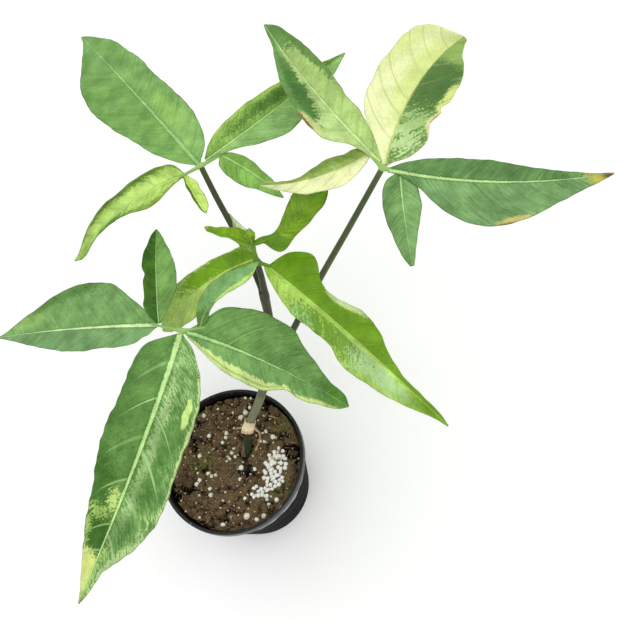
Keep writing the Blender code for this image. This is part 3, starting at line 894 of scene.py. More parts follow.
@dataclass(frozen=True)
class GrainFinish:
    """A loose grain of the mix, its tone drawn for each grain."""

    name: str
    dark: str
    light: str
    roughness: float
    pits: float

    def skin(self) -> Material:
        """Build the grains' material.

        Returns:
            The material.
        """
        material, tree = start_material(self.name)
        place = add_node(tree, "ShaderNodeTexCoord").outputs["Object"]
        tint = add_node(tree, ATTRIBUTE, attribute_name="tint").outputs["Fac"]
        tone = lay_colours(tree, self.dark, [(tint, self.light)])
        # Pits about 0.7 mm across, darkened with painted shade
        pits = add_node(tree, NOISE, {"Vector": place, "Scale": 1400.0, "Detail": 2.0, "Roughness": 0.6})
        shade = add_node(tree, MAP_RANGE, (pits, 0.35, 0.65, 0.85, 1.05))
        toned = add_node(tree, VECTOR_MATH, {0: tone, "Scale": shade}, operation="SCALE")
        finish_material(tree, {"Base Color": toned, "Roughness": self.roughness, "IOR": 1.5}, pits, self.pits)
        return material


@dataclass(frozen=True)
class FloorFinish:
    """Matt white paper sweep, faintly lit from below as on a light table."""

    paper: str = "#ffffff"
    glow: float = 0.07

    def skin(self) -> Material:
        """Build the floor's material.

        Returns:
            The material.
        """
        material, tree = start_material("matt white paper")
        place = add_node(tree, "ShaderNodeTexCoord").outputs["Object"]
        # Paper fibres about 1 mm across
        fibre = add_node(tree, NOISE, {"Vector": place, "Scale": 900.0, "Detail": 2.0})
        paper = linear_colour(self.paper)
        finish_material(tree, {
            "Base Color": paper, "Roughness": 0.9, "Emission Color": paper, "Emission Strength": self.glow,
        }, fibre, 0.02)
        return material


# Sub-assemblies


@dataclass
class NurseryPot:
    """The black nursery pot: a tapered wall with a stepped lip, on a floor with drain holes."""

    rim_radius: float = 54.0
    base_radius: float = 38.0
    height: float = 82.0
    wall: float = 1.2
    lip_height: float = 7.0
    lip_step: float = 1.6
    edge: float = 0.7
    foot: tuple[float, float] = (19.0, 0.5)
    # A band of painted glare below the lip: how far down it reaches, the side that it faces, and its uneven
    # runs
    painted_glare: float = 23.0
    painted_glare_side: float = -38.0
    painted_glare_runs: tuple[float, ...] = (0.7, 1.9, 4.3)
    drains: int = 6
    drain_radius: float = 4.0
    drain_circle: float = 26.0
    sides: int = 168
    finishes: tuple[PotFinish, ...] = (WALL_FINISH, LIP_FINISH)

    def inner_radius(self, height: float) -> float:
        """Radius of the inner wall at a height below the lip."""
        taper = (self.rim_radius - self.lip_step - self.base_radius) / (self.height - self.lip_height)
        return self.base_radius - self.wall + taper * height

    def profile(self) -> list[tuple[float, float]]:
        """Outline of the pot's section as (radius, height), from the underside's middle to the floor's."""
        step = self.height - self.lip_height
        wall_top = self.rim_radius - self.lip_step
        outside = self.rim_radius - self.edge
        inside = outside - self.wall
        foot, hollow = self.foot
        outline = [(0.0, hollow), (foot - 1, hollow), (foot + 1, 0.0), (self.base_radius - self.edge, 0.0)]
        outline += self.rounded(self.base_radius - self.edge, self.edge, -90, 0)
        for height in (4, 12, 20, 28, 36, 44, 52, 56, 59, 62, 65, 68, 71, 73, step):
            outline.append((self.base_radius + (wall_top - self.base_radius) * height / step, height))
        outline += [(wall_top + 0.25, step + 0.05), (outside, step + self.edge / 2)]
        outline += self.rounded(outside, step + 1.5 * self.edge, -70, 0)
        outline += self.rounded(outside, self.height - self.edge, 0, 90)
        outline += self.rounded(inside + 0.2, self.height - self.edge, 90, 180, 0.6)
        outline += [(inside - 0.45, step + 2.2), (self.inner_radius(step + 0.4), step + 0.7)]
        for share in np.linspace(0.95, 0.05, 8):
            outline.append((self.inner_radius(step * share), step * share))
        outline.append((self.inner_radius(self.wall) - 0.4, self.wall + 0.1))
        return outline + [(30.0, self.wall), (0.0, self.wall)]

    def rounded(self, radius: float, height: float, start: float, end: float, size: float = 0.0) -> list:
        """Points round an edge, about a middle at a radius and height, between two angles.

        Args:
            radius: the middle's radius from the pot's axis.
            height: the middle's height.
            start: the first angle, in degrees.
            end: the last angle.
            size: the edge's own radius, where it isn't the pot's.

        Returns:
            The points as (radius, height).
        """
        size = size or self.edge
        angles = np.radians(np.linspace(start, end, 6))
        return [(radius + size * math.cos(a), height + size * math.sin(a)) for a in angles]

    def build(self) -> Piece:
        """Turn the profile, cut the drain holes and dress the pot.

        Returns:
            The finished pot.
        """
        points: list = []
        rings = []
        for radius, height in self.profile():
            count = self.sides if radius > 0 else 1
            rings.append(range(len(points), len(points) + count))
            for step in range(count):
                angle = math.tau * step / self.sides
                points.append((radius * math.cos(angle), radius * math.sin(angle), height))
        faces = []
        for low, high in zip(rings, rings[1:]):
            for step in range(self.sides):
                turn = (step + 1) % self.sides
                below, above = len(low), len(high)
                corners = (low[step % below], low[turn % below], high[turn % above], high[step % above])
                faces.append(tuple(dict.fromkeys(corners)))
        pot = mesh_object("nursery_pot", points, faces)
        drills = mesh_object("drills", *self.drills())
        cut = pot.modifiers.new("drains", "BOOLEAN")
        cut.object = drills
        cut.solver = "MANIFOLD"
        graph = bpy.context.evaluated_depsgraph_get()
        mesh = bpy.data.meshes.new_from_object(pot.evaluated_get(graph))
        pot.modifiers.remove(cut)
        bpy.data.objects.remove(drills)
        pot.data = mesh
        mesh.shade_smooth()
        mesh.set_sharp_from_angle(angle=math.radians(42))
        mesh.materials.clear()
        for finish in self.finishes:
            mesh.materials.append(finish.skin())
        for face in mesh.polygons:
            face.material_index = self.on_lip(face.center / MM)
        # Where the painted glare lies on the wall
        store_values(mesh, "painted_glare", [self.painted_glare_strength(point.co / MM) for point in mesh.vertices])
        seat_piece(pot, Slot.POT, "pot")
        return pot

    def on_lip(self, place: Vector) -> bool:
        """Whether a place on the pot is on its lip."""
        outside = math.hypot(place.x, place.y) > self.rim_radius - self.wall - 2 * self.edge
        return outside and place.z > self.height - self.lip_height + 0.5

    def painted_glare_strength(self, place: Vector) -> float:
        """How strongly the painted glare shows on the wall at a place.

        The painted glare is strongest below the lip on one side, and ends in uneven runs.

        Args:
            place: the place, in millimetres.

        Returns:
            The strength, 0 to 1.
        """
        step = self.height - self.lip_height
        if place.z > step or math.hypot(place.x, place.y) < self.inner_radius(place.z) + self.wall / 2:
            return 0.0
        turn = math.atan2(place.y, place.x) - math.radians(self.painted_glare_side)
        runs = float(ripple(turn, 0.4, self.painted_glare_runs))
        reach = self.painted_glare * (1 + 0.3 * runs) * max(0.01, math.cos(turn)) ** 0.5
        return float(smooth_step(place.z, step - reach, step - reach * 0.3))

    def drills(self) -> tuple[list, list]:
        """Round cutters for the drain holes.

        Returns:
            Their points and faces.
        """
        points: list = []
        faces: list = []
        sides = 28
        for hole in range(self.drains):
            middle = math.tau * (hole + 0.5) / self.drains
            first = len(points)
            for height in (-2.0, 4.0):
                for step in range(sides):
                    angle = math.tau * step / sides
                    x = self.drain_circle * math.cos(middle) + self.drain_radius * math.cos(angle)
                    y = self.drain_circle * math.sin(middle) + self.drain_radius * math.sin(angle)
                    points.append((x, y, height))
            low = range(first, first + sides)
            high = range(first + sides, first + 2 * sides)
            faces += [(low[k], low[k - sides + 1], high[k - sides + 1], high[k]) for k in range(sides)]
            faces += [tuple(reversed(low)), tuple(high)]
        return points, faces


@dataclass
class Strewn:
    """One kind of loose grain on the soil: a gap apart where an attribute says, or at stated places."""

    name: str
    finish: GrainFinish | SoilFinish
    where: str
    gap: float
    sizes: tuple[float, float]
    shape: Point
    lumps: float
    lift: float
    seed: int
    detail: int = 2

    def build(self, tree: Tree, ground: bpy.types.Mesh) -> Piece:
        """Strew the grains over the ground and dress them.

        Args:
            tree: the geometry tree that strews or sets the grains.
            ground: the soil's surface, or the points that grains are set on.

        Returns:
            The finished grains.
        """
        smallest, largest = self.sizes
        thing = grow(add_object(self.name, ground), tree, {
            "Where": self.where, "Gap": self.gap * MM, "Smallest": smallest * MM, "Largest": largest * MM,
            "Shape": self.shape, "Lumps": self.lumps * MM, "Lift": self.lift * MM, "Detail": self.detail,
            "Seed": self.seed, "Material": self.finish.skin(),
        })
        seat_piece(thing, Slot.SOIL)
        return thing


# The larger perlite grains: place from the pot's axis, and how far each shows above the soil
PERLITE = (
    (2, 49, 1.0), (6, 49, 0.9), (0, 34, 2.0), (3, 38, 1.7), (6, 42, 1.2), (-7, 38, 0.9), (-29, 34, 1.4),
    (-23, 19, 1.5), (-11, 14, 1.2), (-27, 3, 1.6), (-20, 8, 1.1), (-9, 21, 1.5), (-9, 18, 1.2),
    (6, -4, 1.7), (16, -4, 1.5), (27, 20, 1.6), (21, 24, 1.2), (18, 16, 1.2), (21, 16, 1.0),
    (-18, -10, 1.4), (-15, -12, 1.2), (-12, -11, 1.1), (-15, -21, 1.2), (-14, -25, 1.4), (-26, -18, 1.5),
    (-24, -15, 1.2), (16, -39, 2.1), (28, -38, 1.7), (24, -41, 1.4), (-1, -46, 1.4), (-31, -38, 0.9),
    (7, -13, 1.0), (12, -26, 1.3), (30, -29, 1.1), (36, -26, 1.4), (-3, 7, 1.4), (-6, 4, 1.3), (0, 4, 1.2),
    (-4, 2, 1.2), (-2, 10, 1.0),
)


@dataclass
class PottingSoil:
    """The soil in the pot: a cloddy bed with crumbs, fibres, perlite and a heap of fertiliser prills."""

    level: float = 74.6
    relief: float = 1.0
    lump: float = 11.0
    clod: float = 8.0
    clod_relief: float = 4.2
    rings: int = 110
    sectors: int = 230
    # The prills' heap and its thinner tail, as (x, y, reach in x, reach in y)
    heap: tuple[float, ...] = (32.0, -3.5, 8.3, 15.5)
    heap_core: float = 0.72
    tail: tuple[float, ...] = (21.0, -23.0, 9.0, 6.5)
    tail_share: float = 0.6
    # Grains keep off the wall and the stem
    strewn_radius: float = 49.0
    stem_foot: tuple[float, float] = (9.0, 7.0)
    stem_clear: tuple[float, float] = (4.0, 6.0)
    perlite_reach: float = 1.3
    # Soft discs of (x, y, radius)
    # Patches of painted shade
    shaded_patches: tuple[Point, ...] = (
        (-33, 20, 13), (-38, -22, 14), (45, 9, 12), (11, -9, 9), (6, 22, 8), (20, 44, 8),
    )
    dry: tuple[Point, ...] = ((-14, 42, 20), (0, -26, 19), (24, 4, 9))
    moss: tuple[Point, ...] = ((-24, -3, 13), (34, 29, 12), (38, -19, 9), (-41, 3, 7))
    finish: SoilFinish = field(default_factory=SoilFinish)

    def clods(self, x: float, y: float) -> float:
        """Height of the clods at a place, from 0 in the cracks between them to about 1."""
        place = Vector((x, y, 20)) / self.clod
        return min(1.0, 1.4 * noise.turbulence(place, 3, True))

    def height(self, x: float, y: float) -> float:
        """Height of the soil at a place: broad lumps with clods on them."""
        broad = self.relief * noise.fractal(Vector((x, y, 0)) / self.lump, 1.0, 2.0, 2)
        return self.level + broad + self.clod_relief * (self.clods(x, y) - 0.5)

    def build(self, pot: NurseryPot) -> list[Piece]:
        """Build the bed and strew it.

        Args:
            pot: the pot that holds the soil.

        Returns:
            The finished pieces.
        """
        floor = pot.wall + SEAT
        shoulder = self.level - self.relief - self.clod_relief / 2
        top_radius = pot.inner_radius(shoulder) - SEAT - 0.3
        points = [(0.0, 0.0, floor)]
        radii = [(pot.inner_radius(floor) - SEAT, floor), (pot.inner_radius(shoulder) - SEAT, shoulder)]
        radii += [(top_radius * ring / self.rings, None) for ring in range(self.rings, 0, -1)]
        for radius, height in radii:
            for step in range(self.sectors):
                angle = math.tau * step / self.sectors
                x = radius * math.cos(angle)
                y = radius * math.sin(angle)
                points.append((x, y, self.height(x, y) if height is None else height))
        points.append((0.0, 0.0, self.height(0, 0)))
        last = len(points) - 1
        faces = []
        for step in range(self.sectors):
            turn = (step + 1) % self.sectors
            faces.append((0, 1 + turn, 1 + step))
            for ring in range(len(radii) - 1):
                low = 1 + ring * self.sectors
                high = low + self.sectors
                faces.append((low + step, low + turn, high + turn, high + step))
            inner = 1 + (len(radii) - 1) * self.sectors
            faces.append((inner + step, inner + turn, last))
        spots = np.array(points)
        bed = mesh_object("soil_bed", spots, faces)
        store_values(bed.data, "marks", self.marks(spots))
        bed.data.materials.append(self.finish.skin())
        seat_piece(bed, Slot.SOIL, "soil")
        ground = self.ground(spots, faces, 1 + 2 * self.sectors)
        strew = grain_tree(placed=False)
        pieces = [kind.build(strew, ground) for kind in self.kinds()]
        pieces.append(self.perlite().build(grain_tree(placed=True), self.perlite_points()))
        return [bed, *pieces]

    def spread(self, points: np.ndarray, discs: tuple[Point, ...]) -> np.ndarray:
        """How far each point lies inside any of the soft discs, from 0 to 1."""
        share = np.zeros(len(points))
        for x, y, radius in discs:
            inward = -np.hypot(points[:, 0] - x, points[:, 1] - y)
            share = np.maximum(share, smooth_step(inward, -radius, -radius / 3))
        return share

    def marks(self, points: np.ndarray) -> np.ndarray:
        """What the soil's finish reads at each point: how much painted shade it has, how dry and how mossy it
        is.
        """
        clods = np.array([self.clods(x, y) for x, y, _ in points])
        shaded_patches = self.spread(points, self.shaded_patches)
        # Painted shade: darkest in the cracks between clods, and deeper and wider in the shaded patches
        hollow = np.clip(smooth_step(-clods, -0.5 - 0.3 * shaded_patches, -0.12 - 0.2 * shaded_patches) + 0.35 * shaded_patches, 0, 1)
        return np.column_stack((hollow, self.spread(points, self.dry), self.spread(points, self.moss)))

    def ground(self, points: np.ndarray, faces: list, first_top: int) -> bpy.types.Mesh:
        """The bed's top alone, with the attributes that say where each kind of grain lies.

        Args:
            points: the bed's points.
            faces: the bed's faces.
            first_top: the number of the first point on the top.

        Returns:
            The mesh that grains are strewn over.
        """
        top = [tuple(c - first_top for c in face) for face in faces if min(face) >= first_top]
        mesh = make_mesh("ground", points[first_top:], [], top)
        x, y = points[first_top:, 0], points[first_top:, 1]
        off_stem = np.hypot(x - self.stem_foot[0], y - self.stem_foot[1])
        bare = smooth_step(off_stem, *self.stem_clear) * (np.hypot(x, y) < self.strewn_radius)
        heap, tail = (
            np.hypot((x - middle_x) / reach_x, (y - middle_y) / reach_y)
            for middle_x, middle_y, reach_x, reach_y in (self.heap, self.tail)
        )
        store_values(mesh, "open", bare)
        store_values(mesh, "marks", self.marks(points[first_top:]))
        store_values(mesh, "heap", ((heap < 1) + self.tail_share * (tail < 1)).clip(0, 1) * bare)
        store_values(mesh, "heap core", (heap < self.heap_core) * bare)
        return mesh

    def kinds(self) -> tuple[Strewn, ...]:
        """The kinds of strewn grain, from the peat crumbs to the prills."""
        chip = GrainFinish("coir fibre", "#4a3020", "#b58e66", 0.85, 0.2)
        speck = GrainFinish("perlite crumb", "#cfc4ac", "#fff9ea", 0.75, 0.1)
        prill = GrainFinish("coated prill", "#fbf8ef", "#ffffff", 0.35, 0.02)
        return (
            Strewn("peat_crumbs", self.finish, "open", 1.35, (0.35, 1.9), (1.0, 0.8, 0.7), 1.2, 0.1, 11, 1),
            Strewn("coir_fibres", chip, "open", 2.6, (0.8, 3.0), (1.5, 0.14, 0.14), 0.9, 0.7, 23, 1),
            Strewn("perlite_crumbs", speck, "open", 5.4, (0.45, 1.3), (1.0, 0.8, 0.65), 0.8, 0.5, 37),
            Strewn("fertiliser_prills", prill, "heap", 2.75, (1.45, 1.7), (1.0, 1.0, 1.0), 0.12, 1.0, 41, 3),
            Strewn("upper_prills", prill, "heap core", 2.9, (1.45, 1.7), (1.0, 1.0, 1.0), 0.12, 3.1, 43, 3),
        )

    def perlite(self) -> Strewn:
        """The larger perlite grains."""
        perlite = GrainFinish("expanded perlite", "#f3e8d0", "#fffcf2", 0.75, 0.12)
        return Strewn("perlite_grains", perlite, "", 0.0, (0.0, 0.0), (1.0, 0.9, 0.8), 0.9, 0.0, 47, 3)

    def perlite_points(self) -> bpy.types.Mesh:
        """The points that the larger perlite grains are set on, a little sunk into the soil."""
        places = [(x, y, self.height(x, y) + size / 2) for x, y, size in PERLITE]
        mesh = make_mesh("perlite places", places, [], [])
        store_values(mesh, "size", [self.perlite_reach * size * MM for _, _, size in PERLITE])
        return mesh


# A shoot's round end, as steps inward and shares of its radius
ROUND_END = ((0.0, 0.55), (0.08, 0.85), (0.24, 1.0))


@dataclass
class Shoot:
    """A round shoot through points, such as the stem, a petiole or a root.

    Each swelling is its place along the shoot, its height and its reach.
    """

    name: str
    points: tuple[Point, ...]
    start: float
    end: float
    finish: ShootFinish
    slot: Slot
    swellings: tuple[tuple[float, float, float], ...] = ()
    sides: int = 24
    spacing: float = 1.0
    groove: float = 0.0
    trim: float = 0.0
    crook: float = 0.0

    def line(self) -> tuple[np.ndarray, np.ndarray]:
        """The shoot's points and radii, its ends rounded off.

        Returns:
            The points in millimetres, and a radius for each.
        """
        points = [np.array(point, float) for point in self.points]
        if self.trim:
            last = points[-1] - points[-2]
            points[-1] = points[-1] - last / np.linalg.norm(last) * self.trim
        path = smooth_path(tuple(tuple(p) for p in points), self.spacing)
        distance = np.concatenate(([0], np.cumsum(np.linalg.norm(np.diff(path, axis=0), axis=1))))
        share = distance / distance[-1]
        radii = self.start + (self.end - self.start) * share
        for place, height, reach in self.swellings:
            radii += height * np.exp(-((distance - place) / reach) ** 2)
        if self.crook:
            sway = self.crook * np.sin(math.pi * share)[:, None]
            path = path + sway * np.stack([ripple(share, k + 0.3, (4.1, 9.3)) for k in range(3)], axis=1)
        for _ in range(2):
            # Round off the first end, then turn the line round for the other one
            tip, radius = path[0], radii[0]
            inward = path[1] - tip
            inward /= np.linalg.norm(inward)
            end = [tip + inward * radius * step for step, _ in ROUND_END]
            path = np.concatenate((end, path[1:]))[::-1]
            radii = np.concatenate(([radius * part for _, part in ROUND_END], radii[1:]))[::-1]
        return path, radii

    def build(self, tree: Tree) -> Piece:
        """Grow the shoot along its line.

        Args:
            tree: the geometry tree for shoots.

        Returns:
            The shoot, dressed but not yet seated.
        """
        path, radii = self.line()
        mesh = make_mesh(self.name, path, [(k, k + 1) for k in range(len(path) - 1)], [])
        store_values(mesh, "reach", radii * MM)
        return grow(add_object(self.name, mesh), tree, {
            "Sides": self.sides, "Groove": self.groove, "Material": self.finish.skin(self.name),
        })


STEM_FINISH = ShootFinish(
    bands=(
        (0, "#1b2c0d"), (56, "#7d7e62"), (84, "#686a4e"), (93, "#4f4c2c"), (104, "#4a4527"), (150, "#433f20"),
    ),
    light="#9c9d7c", dark="#20240f", lines=0.3, roughness=0.48, blur=2.0,
)
PETIOLE_FINISH = ShootFinish(
    bands=((0, "#33361c"), (30, "#343c1c"), (90, "#414e22"), (190, "#546530")),
    light="#6d7c42", dark="#2b3318", lines=0.3, roughness=0.42, blur=14.0,
)
ROOT_FINISH = ShootFinish(
    bands=((0, "#c4a27c"), (6, "#a58863")), light="#dcc4a0", dark="#6b553a", lines=0.5, roughness=0.85,
    depth=0.2,
)
RACHIS_FINISH = ShootFinish(
    bands=((0, "#9cc46c"), (4, "#8fb861")), light="#b7dc86", dark="#5d8040", lines=0.3, roughness=0.42,
)


@dataclass
class Stem:
    """The leaning stem with its swollen nodes."""

    points: tuple[Point, ...] = (
        (5, -5, 44), (7, 2, 62), (10, 9, 76), (13, 22, 91), (21, 35, 101),
        (28, 44, 114), (37, 58, 140), (45, 70, 168), (46, 82, 192),
    )
    radii: tuple[float, float] = (2.7, 2.8)
    nodes: tuple[Point, ...] = (
        (82, 0.4, 22.0), (91, 0.4, 3.0), (114, 0.5, 3.0), (175, 0.4, 9.0), (93, 0.2, 0.8), (116, 0.2, 0.8),
    )

    def build(self, tree: Tree) -> Piece:
        """Grow and seat the stem.

        Args:
            tree: the geometry tree for shoots.

        Returns:
            The finished stem.
        """
        stem = Shoot(
            "leaning_stem", self.points, *self.radii, STEM_FINISH, Slot.STEM, swellings=self.nodes,
            sides=32, spacing=0.9, groove=0.05,
        ).build(tree)
        seat_piece(stem, Slot.STEM, "stem")
        return stem


@dataclass
class NodeSheath:
    """The dry papery sleeve of an old leaf round the lowest node, with the roots that grow there."""

    axis: tuple[Point, ...] = ((12.2, 19.4, 88.6), (13.0, 22.0, 91.0), (14.7, 25.7, 93.9))
    radii: tuple[float, ...] = (4.1, 4.3, 3.6)
    wall: float = 0.45
    ridge: float = 0.12
    fray: float = 0.9
    frayed_from: float = 0.85
    hang: float = 2.4
    stand_off: float = 0.45
    sides: int = 72
    rows: int = 18
    finish: ShootFinish = ShootFinish(
        bands=((0, "#d6ae85"), (2, "#fae2c2"), (6, "#eed0a9")), light="#fff2dc", dark="#a5815a",
        lines=0.55, roughness=0.8, blur=1.5, depth=0.3,
    )

    def build(self, tree: Tree) -> Piece:
        """Build the sleeve, its air roots and the root on the soil.

        Args:
            tree: the geometry tree for shoots.

        Returns:
            The finished sheath with its roots.
        """
        path = smooth_path(self.axis, 0.6)
        rows = np.linspace(0, len(path) - 1, self.rows).astype(int)
        centres = path[rows]
        share = np.linspace(0, 1, self.rows)
        outer = smooth_values(np.array([0.0, 0.5, 1.0]), np.array(self.radii), share)
        along = path[-1] - path[0]
        along /= np.linalg.norm(along)
        side = np.cross(along, (0, 0, 1))
        side /= np.linalg.norm(side)
        up = np.cross(along, side)
        turns = np.linspace(0, 1, self.sides, endpoint=False)
        angle = math.tau * turns
        fray = ripple(turns, 0.4, (3, 8, 17))
        ridges = ripple(turns, 0.9, (13, 29))
        points = []
        marks = []
        for wall, order in ((0.0, range(self.rows)), (self.wall, reversed(range(self.rows)))):
            for row in order:
                # The upper edge is torn and flares, and the lower one hangs down and stands off on the
                # side of the left root
                torn = max(0.0, (share[row] - self.frayed_from) / (1 - self.frayed_from))
                hanging = (1 - share[row]) ** 2 * (0.5 - 0.5 * np.cos(angle)) ** 2 * self.hang
                slip = self.fray * torn * fray - hanging * (1 + 0.25 * fray)
                flare = (share[row] ** 6) * (0.5 + 0.4 * fray) + self.stand_off * hanging
                reach = outer[row] - wall + self.ridge * ridges + flare
                for k in range(self.sides):
                    outward = math.cos(angle[k]) * side + math.sin(angle[k]) * up
                    points.append(centres[row] + along * slip[k] + reach[k] * outward)
                    marks.append((share[row] * 8 * MM, turns[k]))
        faces = []
        count = 2 * self.rows
        for ring in range(count):
            low = ring * self.sides
            high = (ring + 1) % count * self.sides
            for step in range(self.sides):
                turn = (step + 1) % self.sides
                faces.append((low + step, high + step, high + turn, low + turn))
        sleeve = mesh_object("node_sheath_and_roots", points, faces)
        store_values(sleeve.data, "along", np.array(marks)[:, 0])
        store_values(sleeve.data, "around", np.array(marks)[:, 1])
        sleeve.data.materials.append(self.finish.skin("dry sheath"))
        roots = [root.build(tree) for root in self.roots()]
        joined = join_pieces([sleeve, *roots])
        seat_piece(joined, Slot.SHEATH, "node_sheath", "root_surface")
        return joined

    def roots(self) -> tuple[Shoot, ...]:
        """The two roots at the node, and the thin one that lies on the soil."""
        shape = {"finish": ROOT_FINISH, "slot": Slot.SHEATH, "sides": 10, "spacing": 0.6}
        return (
            Shoot("root_long", ((16.4, 21.6, 91), (20.5, 19, 88), (19, 13, 82), (15.4, 8.6, 76.2)), 0.8, 0.6,
                  swellings=((20.5, 0.9, 1.3),), crook=0.35, **shape),
            Shoot("root_short", ((9.6, 22, 89.7), (4, 21.5, 88.5), (0, 21, 88)), 0.8, 0.4, crook=0.2,
                  **shape),
            Shoot("root_arc", ((22, 36, 74.6), (29, 34, 75.6), (36, 31, 74.8)), 0.5, 0.35, crook=0.3,
                  **shape),
        )


@dataclass
class Leaflet:
    """One leaflet of a compound leaf: its rib, its outline and its finish.

    The half widths are at the middles of equal parts of the length.
    """

    name: str
    root: Point
    length: float
    heading: float
    pitch: float
    left: tuple[float, ...]
    right: tuple[float, ...]
    finish: BladeFinish
    sweep: float = 0.0
    droop: float = 0.0
    left_lift: float = 6.0
    right_lift: float = 6.0
    wave: float = 1.0
    waves: float = 3.0
    curl: float = 0.05
    veins: int = 6
    quilt: float = 0.28
    furrow: float = 0.45
    scallop: float = 0.35
    notches: tuple[tuple[Side, float, float, float], ...] = ()
    thickness: float = 0.5
    root_half_width: float = 1.3
    tip_half_width: float = 0.45
    blunt: bool = False

    def half_widths(self, side: Side, share: np.ndarray) -> np.ndarray:
        """The blade's half width on one side, with its scallops and notches.

        Args:
            side: the side.
            share: places along the rib, 0 to 1.

        Returns:
            The half width in millimetres at each place.
        """
        stated = self.left if side is LEFT else self.right
        count = len(stated)
        places = np.array([0.0, *((index + 0.5) / count for index in range(count)), 1.0])
        values = np.array([self.root_half_width, *stated, self.tip_half_width])
        width = np.maximum(smooth_values(places, values, share), self.tip_half_width)
        if self.blunt:
            past = np.clip((share - places[-2]) / (1 - places[-2]), 0, 1)
            width = np.where(past > 0, stated[-1] * np.sqrt(np.maximum(1 - past ** 2, 0.01)), width)
        swell = np.clip(6 * share * (1 - share), 0, 1)
        seed = self.finish.seed + side.value * 0.37
        width = width + self.scallop * swell * ripple(share, seed, (2.3, self.length / 17, self.length / 9.5))
        for notch_side, place, reach, depth in self.notches:
            if notch_side is side:
                width = width - depth * np.exp(-((share - place) / reach) ** 2)
        return np.maximum(width, self.tip_half_width * 0.6)

    def spacing(self) -> float:
        """The distance between side veins, in millimetres."""
        return self.length / (self.veins + 1)

    def sheet(self) -> dict[str, np.ndarray]:
        """The blade's middle sheet as a grid of places, with what the finish reads.

        Returns:
            Points, blade places and measures, each a grid of rows along the rib.
        """
        rows = max(20, round(self.length / 1.35))
        columns = max(7, round(max(self.left + self.right) / 1.3))
        share = np.linspace(0, 1, rows + 1)
        middle = (share[1:] + share[:-1]) / 2
        steps = self.direction(middle) * self.length / rows
        rib = np.array(self.root, float) + np.concatenate((np.zeros((1, 3)), np.cumsum(steps, axis=0)))
        tangent = self.direction(share)
        right = np.cross(tangent, (0, 0, 1))
        right /= np.linalg.norm(right, axis=1)[:, None]
        up = np.cross(right, tangent)
        v = np.linspace(-1, 1, 2 * columns + 1)[None, :]
        left_width, right_width = (self.half_widths(side, share)[:, None] for side in (LEFT, RIGHT))
        widths = np.where(v > 0, right_width, left_width)
        lift = np.radians(np.where(v > 0, self.right_lift, self.left_lift))
        s = share[:, None]
        away = np.abs(v)
        soft = np.sqrt(away ** 2 + 0.0025) - 0.05 * (1 - away)
        across = v * widths
        swell = np.minimum(1.0, 4 * s * (1 - s))
        turn = math.tau * self.waves * s + np.where(v > 0, math.pi / 2, 0)
        rise = soft * widths * np.sin(lift) + self.wave * swell * v ** 2 * np.sin(turn)
        rise = rise - self.curl * widths * away ** 3
        along = s * self.length
        phase = (along - 0.55 * np.abs(across) - 0.45 * across ** 2 / np.maximum(widths, 1)) / self.spacing()
        # Side veins stand in turn on the two halves, and their gaps are uneven
        phase = phase + np.where(v > 0, 0.4, 0.0)
        phase = phase + 0.2 * ripple(phase, self.finish.seed + np.where(v > 0, 0.5, 0.0), (0.31, 0.57))
        # The quilting between the veins fades at the rib, the margin and the tip, and the rib lies in
        # a furrow
        fade = smooth_step(np.abs(across), 0.5, 3.5) * smooth_step(1 - away, 0.0, 0.25)
        rise = rise - self.quilt * fade * smooth_step(1 - s, 0, 0.2) * np.cos(math.tau * phase)
        rise = rise - self.furrow * np.exp(-(across / 1.1) ** 2) * (1 - s)
        points = (
            rib[:, None, :] + right[:, None, :] * (across * np.cos(lift))[..., None]
            + up[:, None, :] * rise[..., None]
        )
        flat = np.broadcast_to
        shape = across.shape
        return {
            "points": points,
            "blade": np.stack((flat(s, shape), flat(v, shape), phase), axis=-1),
            "measure": np.stack((flat(along, shape), across), axis=-1),
            "inset": np.minimum(widths * (1 - away), self.length * (1 - s)),
        }

    def direction(self, share: np.ndarray) -> np.ndarray:
        """Directions of the rib at places along it."""
        heading = np.radians(self.heading + self.sweep * share)
        pitch = np.radians(self.pitch - self.droop * share)
        level = np.cos(pitch)
        return np.stack((level * np.cos(heading), level * np.sin(heading), np.sin(pitch)), axis=1)

    def build(self) -> Piece:
        """Thicken the sheet into a closed blade, with the rib standing out below it.

        Returns:
            The blade, dressed but not yet joined.
        """
        sheet = self.sheet()
        middle = sheet["points"]
        rows, columns = middle.shape[:2]
        normal = np.cross(np.gradient(middle, axis=1), np.gradient(middle, axis=0))
        normal /= np.maximum(np.linalg.norm(normal, axis=2, keepdims=True), 1e-9)
        v = sheet["blade"][..., 1]
        s = sheet["blade"][..., 0]
        across = sheet["measure"][..., 1]
        body = self.thickness * (1 - 0.55 * np.abs(v) ** 4) / 2
        rib = (0.35 + 0.75 * (1 - s)) * np.exp(-(across / 1.2) ** 2)
        top = middle + normal * body[..., None]
        bottom = middle - normal * (body + rib)[..., None]
        count = rows * columns
        points = np.concatenate((top.reshape(-1, 3), bottom.reshape(-1, 3)))
        grid = np.arange(count).reshape(rows, columns)
        low, high = grid[:-1], grid[1:]
        quads = np.stack((low[:, :-1], low[:, 1:], high[:, 1:], high[:, :-1]), axis=-1).reshape(-1, 4)
        rim = np.concatenate((grid[0, :-1], grid[:-1, -1], grid[-1, :0:-1], grid[:0:-1, 0]))
        ahead = np.roll(rim, -1)
        edge = np.stack((rim, rim + count, ahead + count, ahead), axis=-1)
        faces = np.concatenate((quads, quads[:, ::-1] + count, edge))
        blade = mesh_object(self.name, points, faces.tolist())
        face_side = np.repeat([1.0, -1.0], count)
        store_values(blade.data, "blade", np.tile(sheet["blade"].reshape(-1, 3), (2, 1)))
        store_values(blade.data, "measure", np.column_stack((
            np.tile(sheet["measure"].reshape(-1, 2), (2, 1)), face_side,
        )))
        store_values(blade.data, "inset", np.tile(sheet["inset"].reshape(-1), 2))
        blade.data.materials.append(self.finish.skin(self.name, self.spacing()))
        return blade


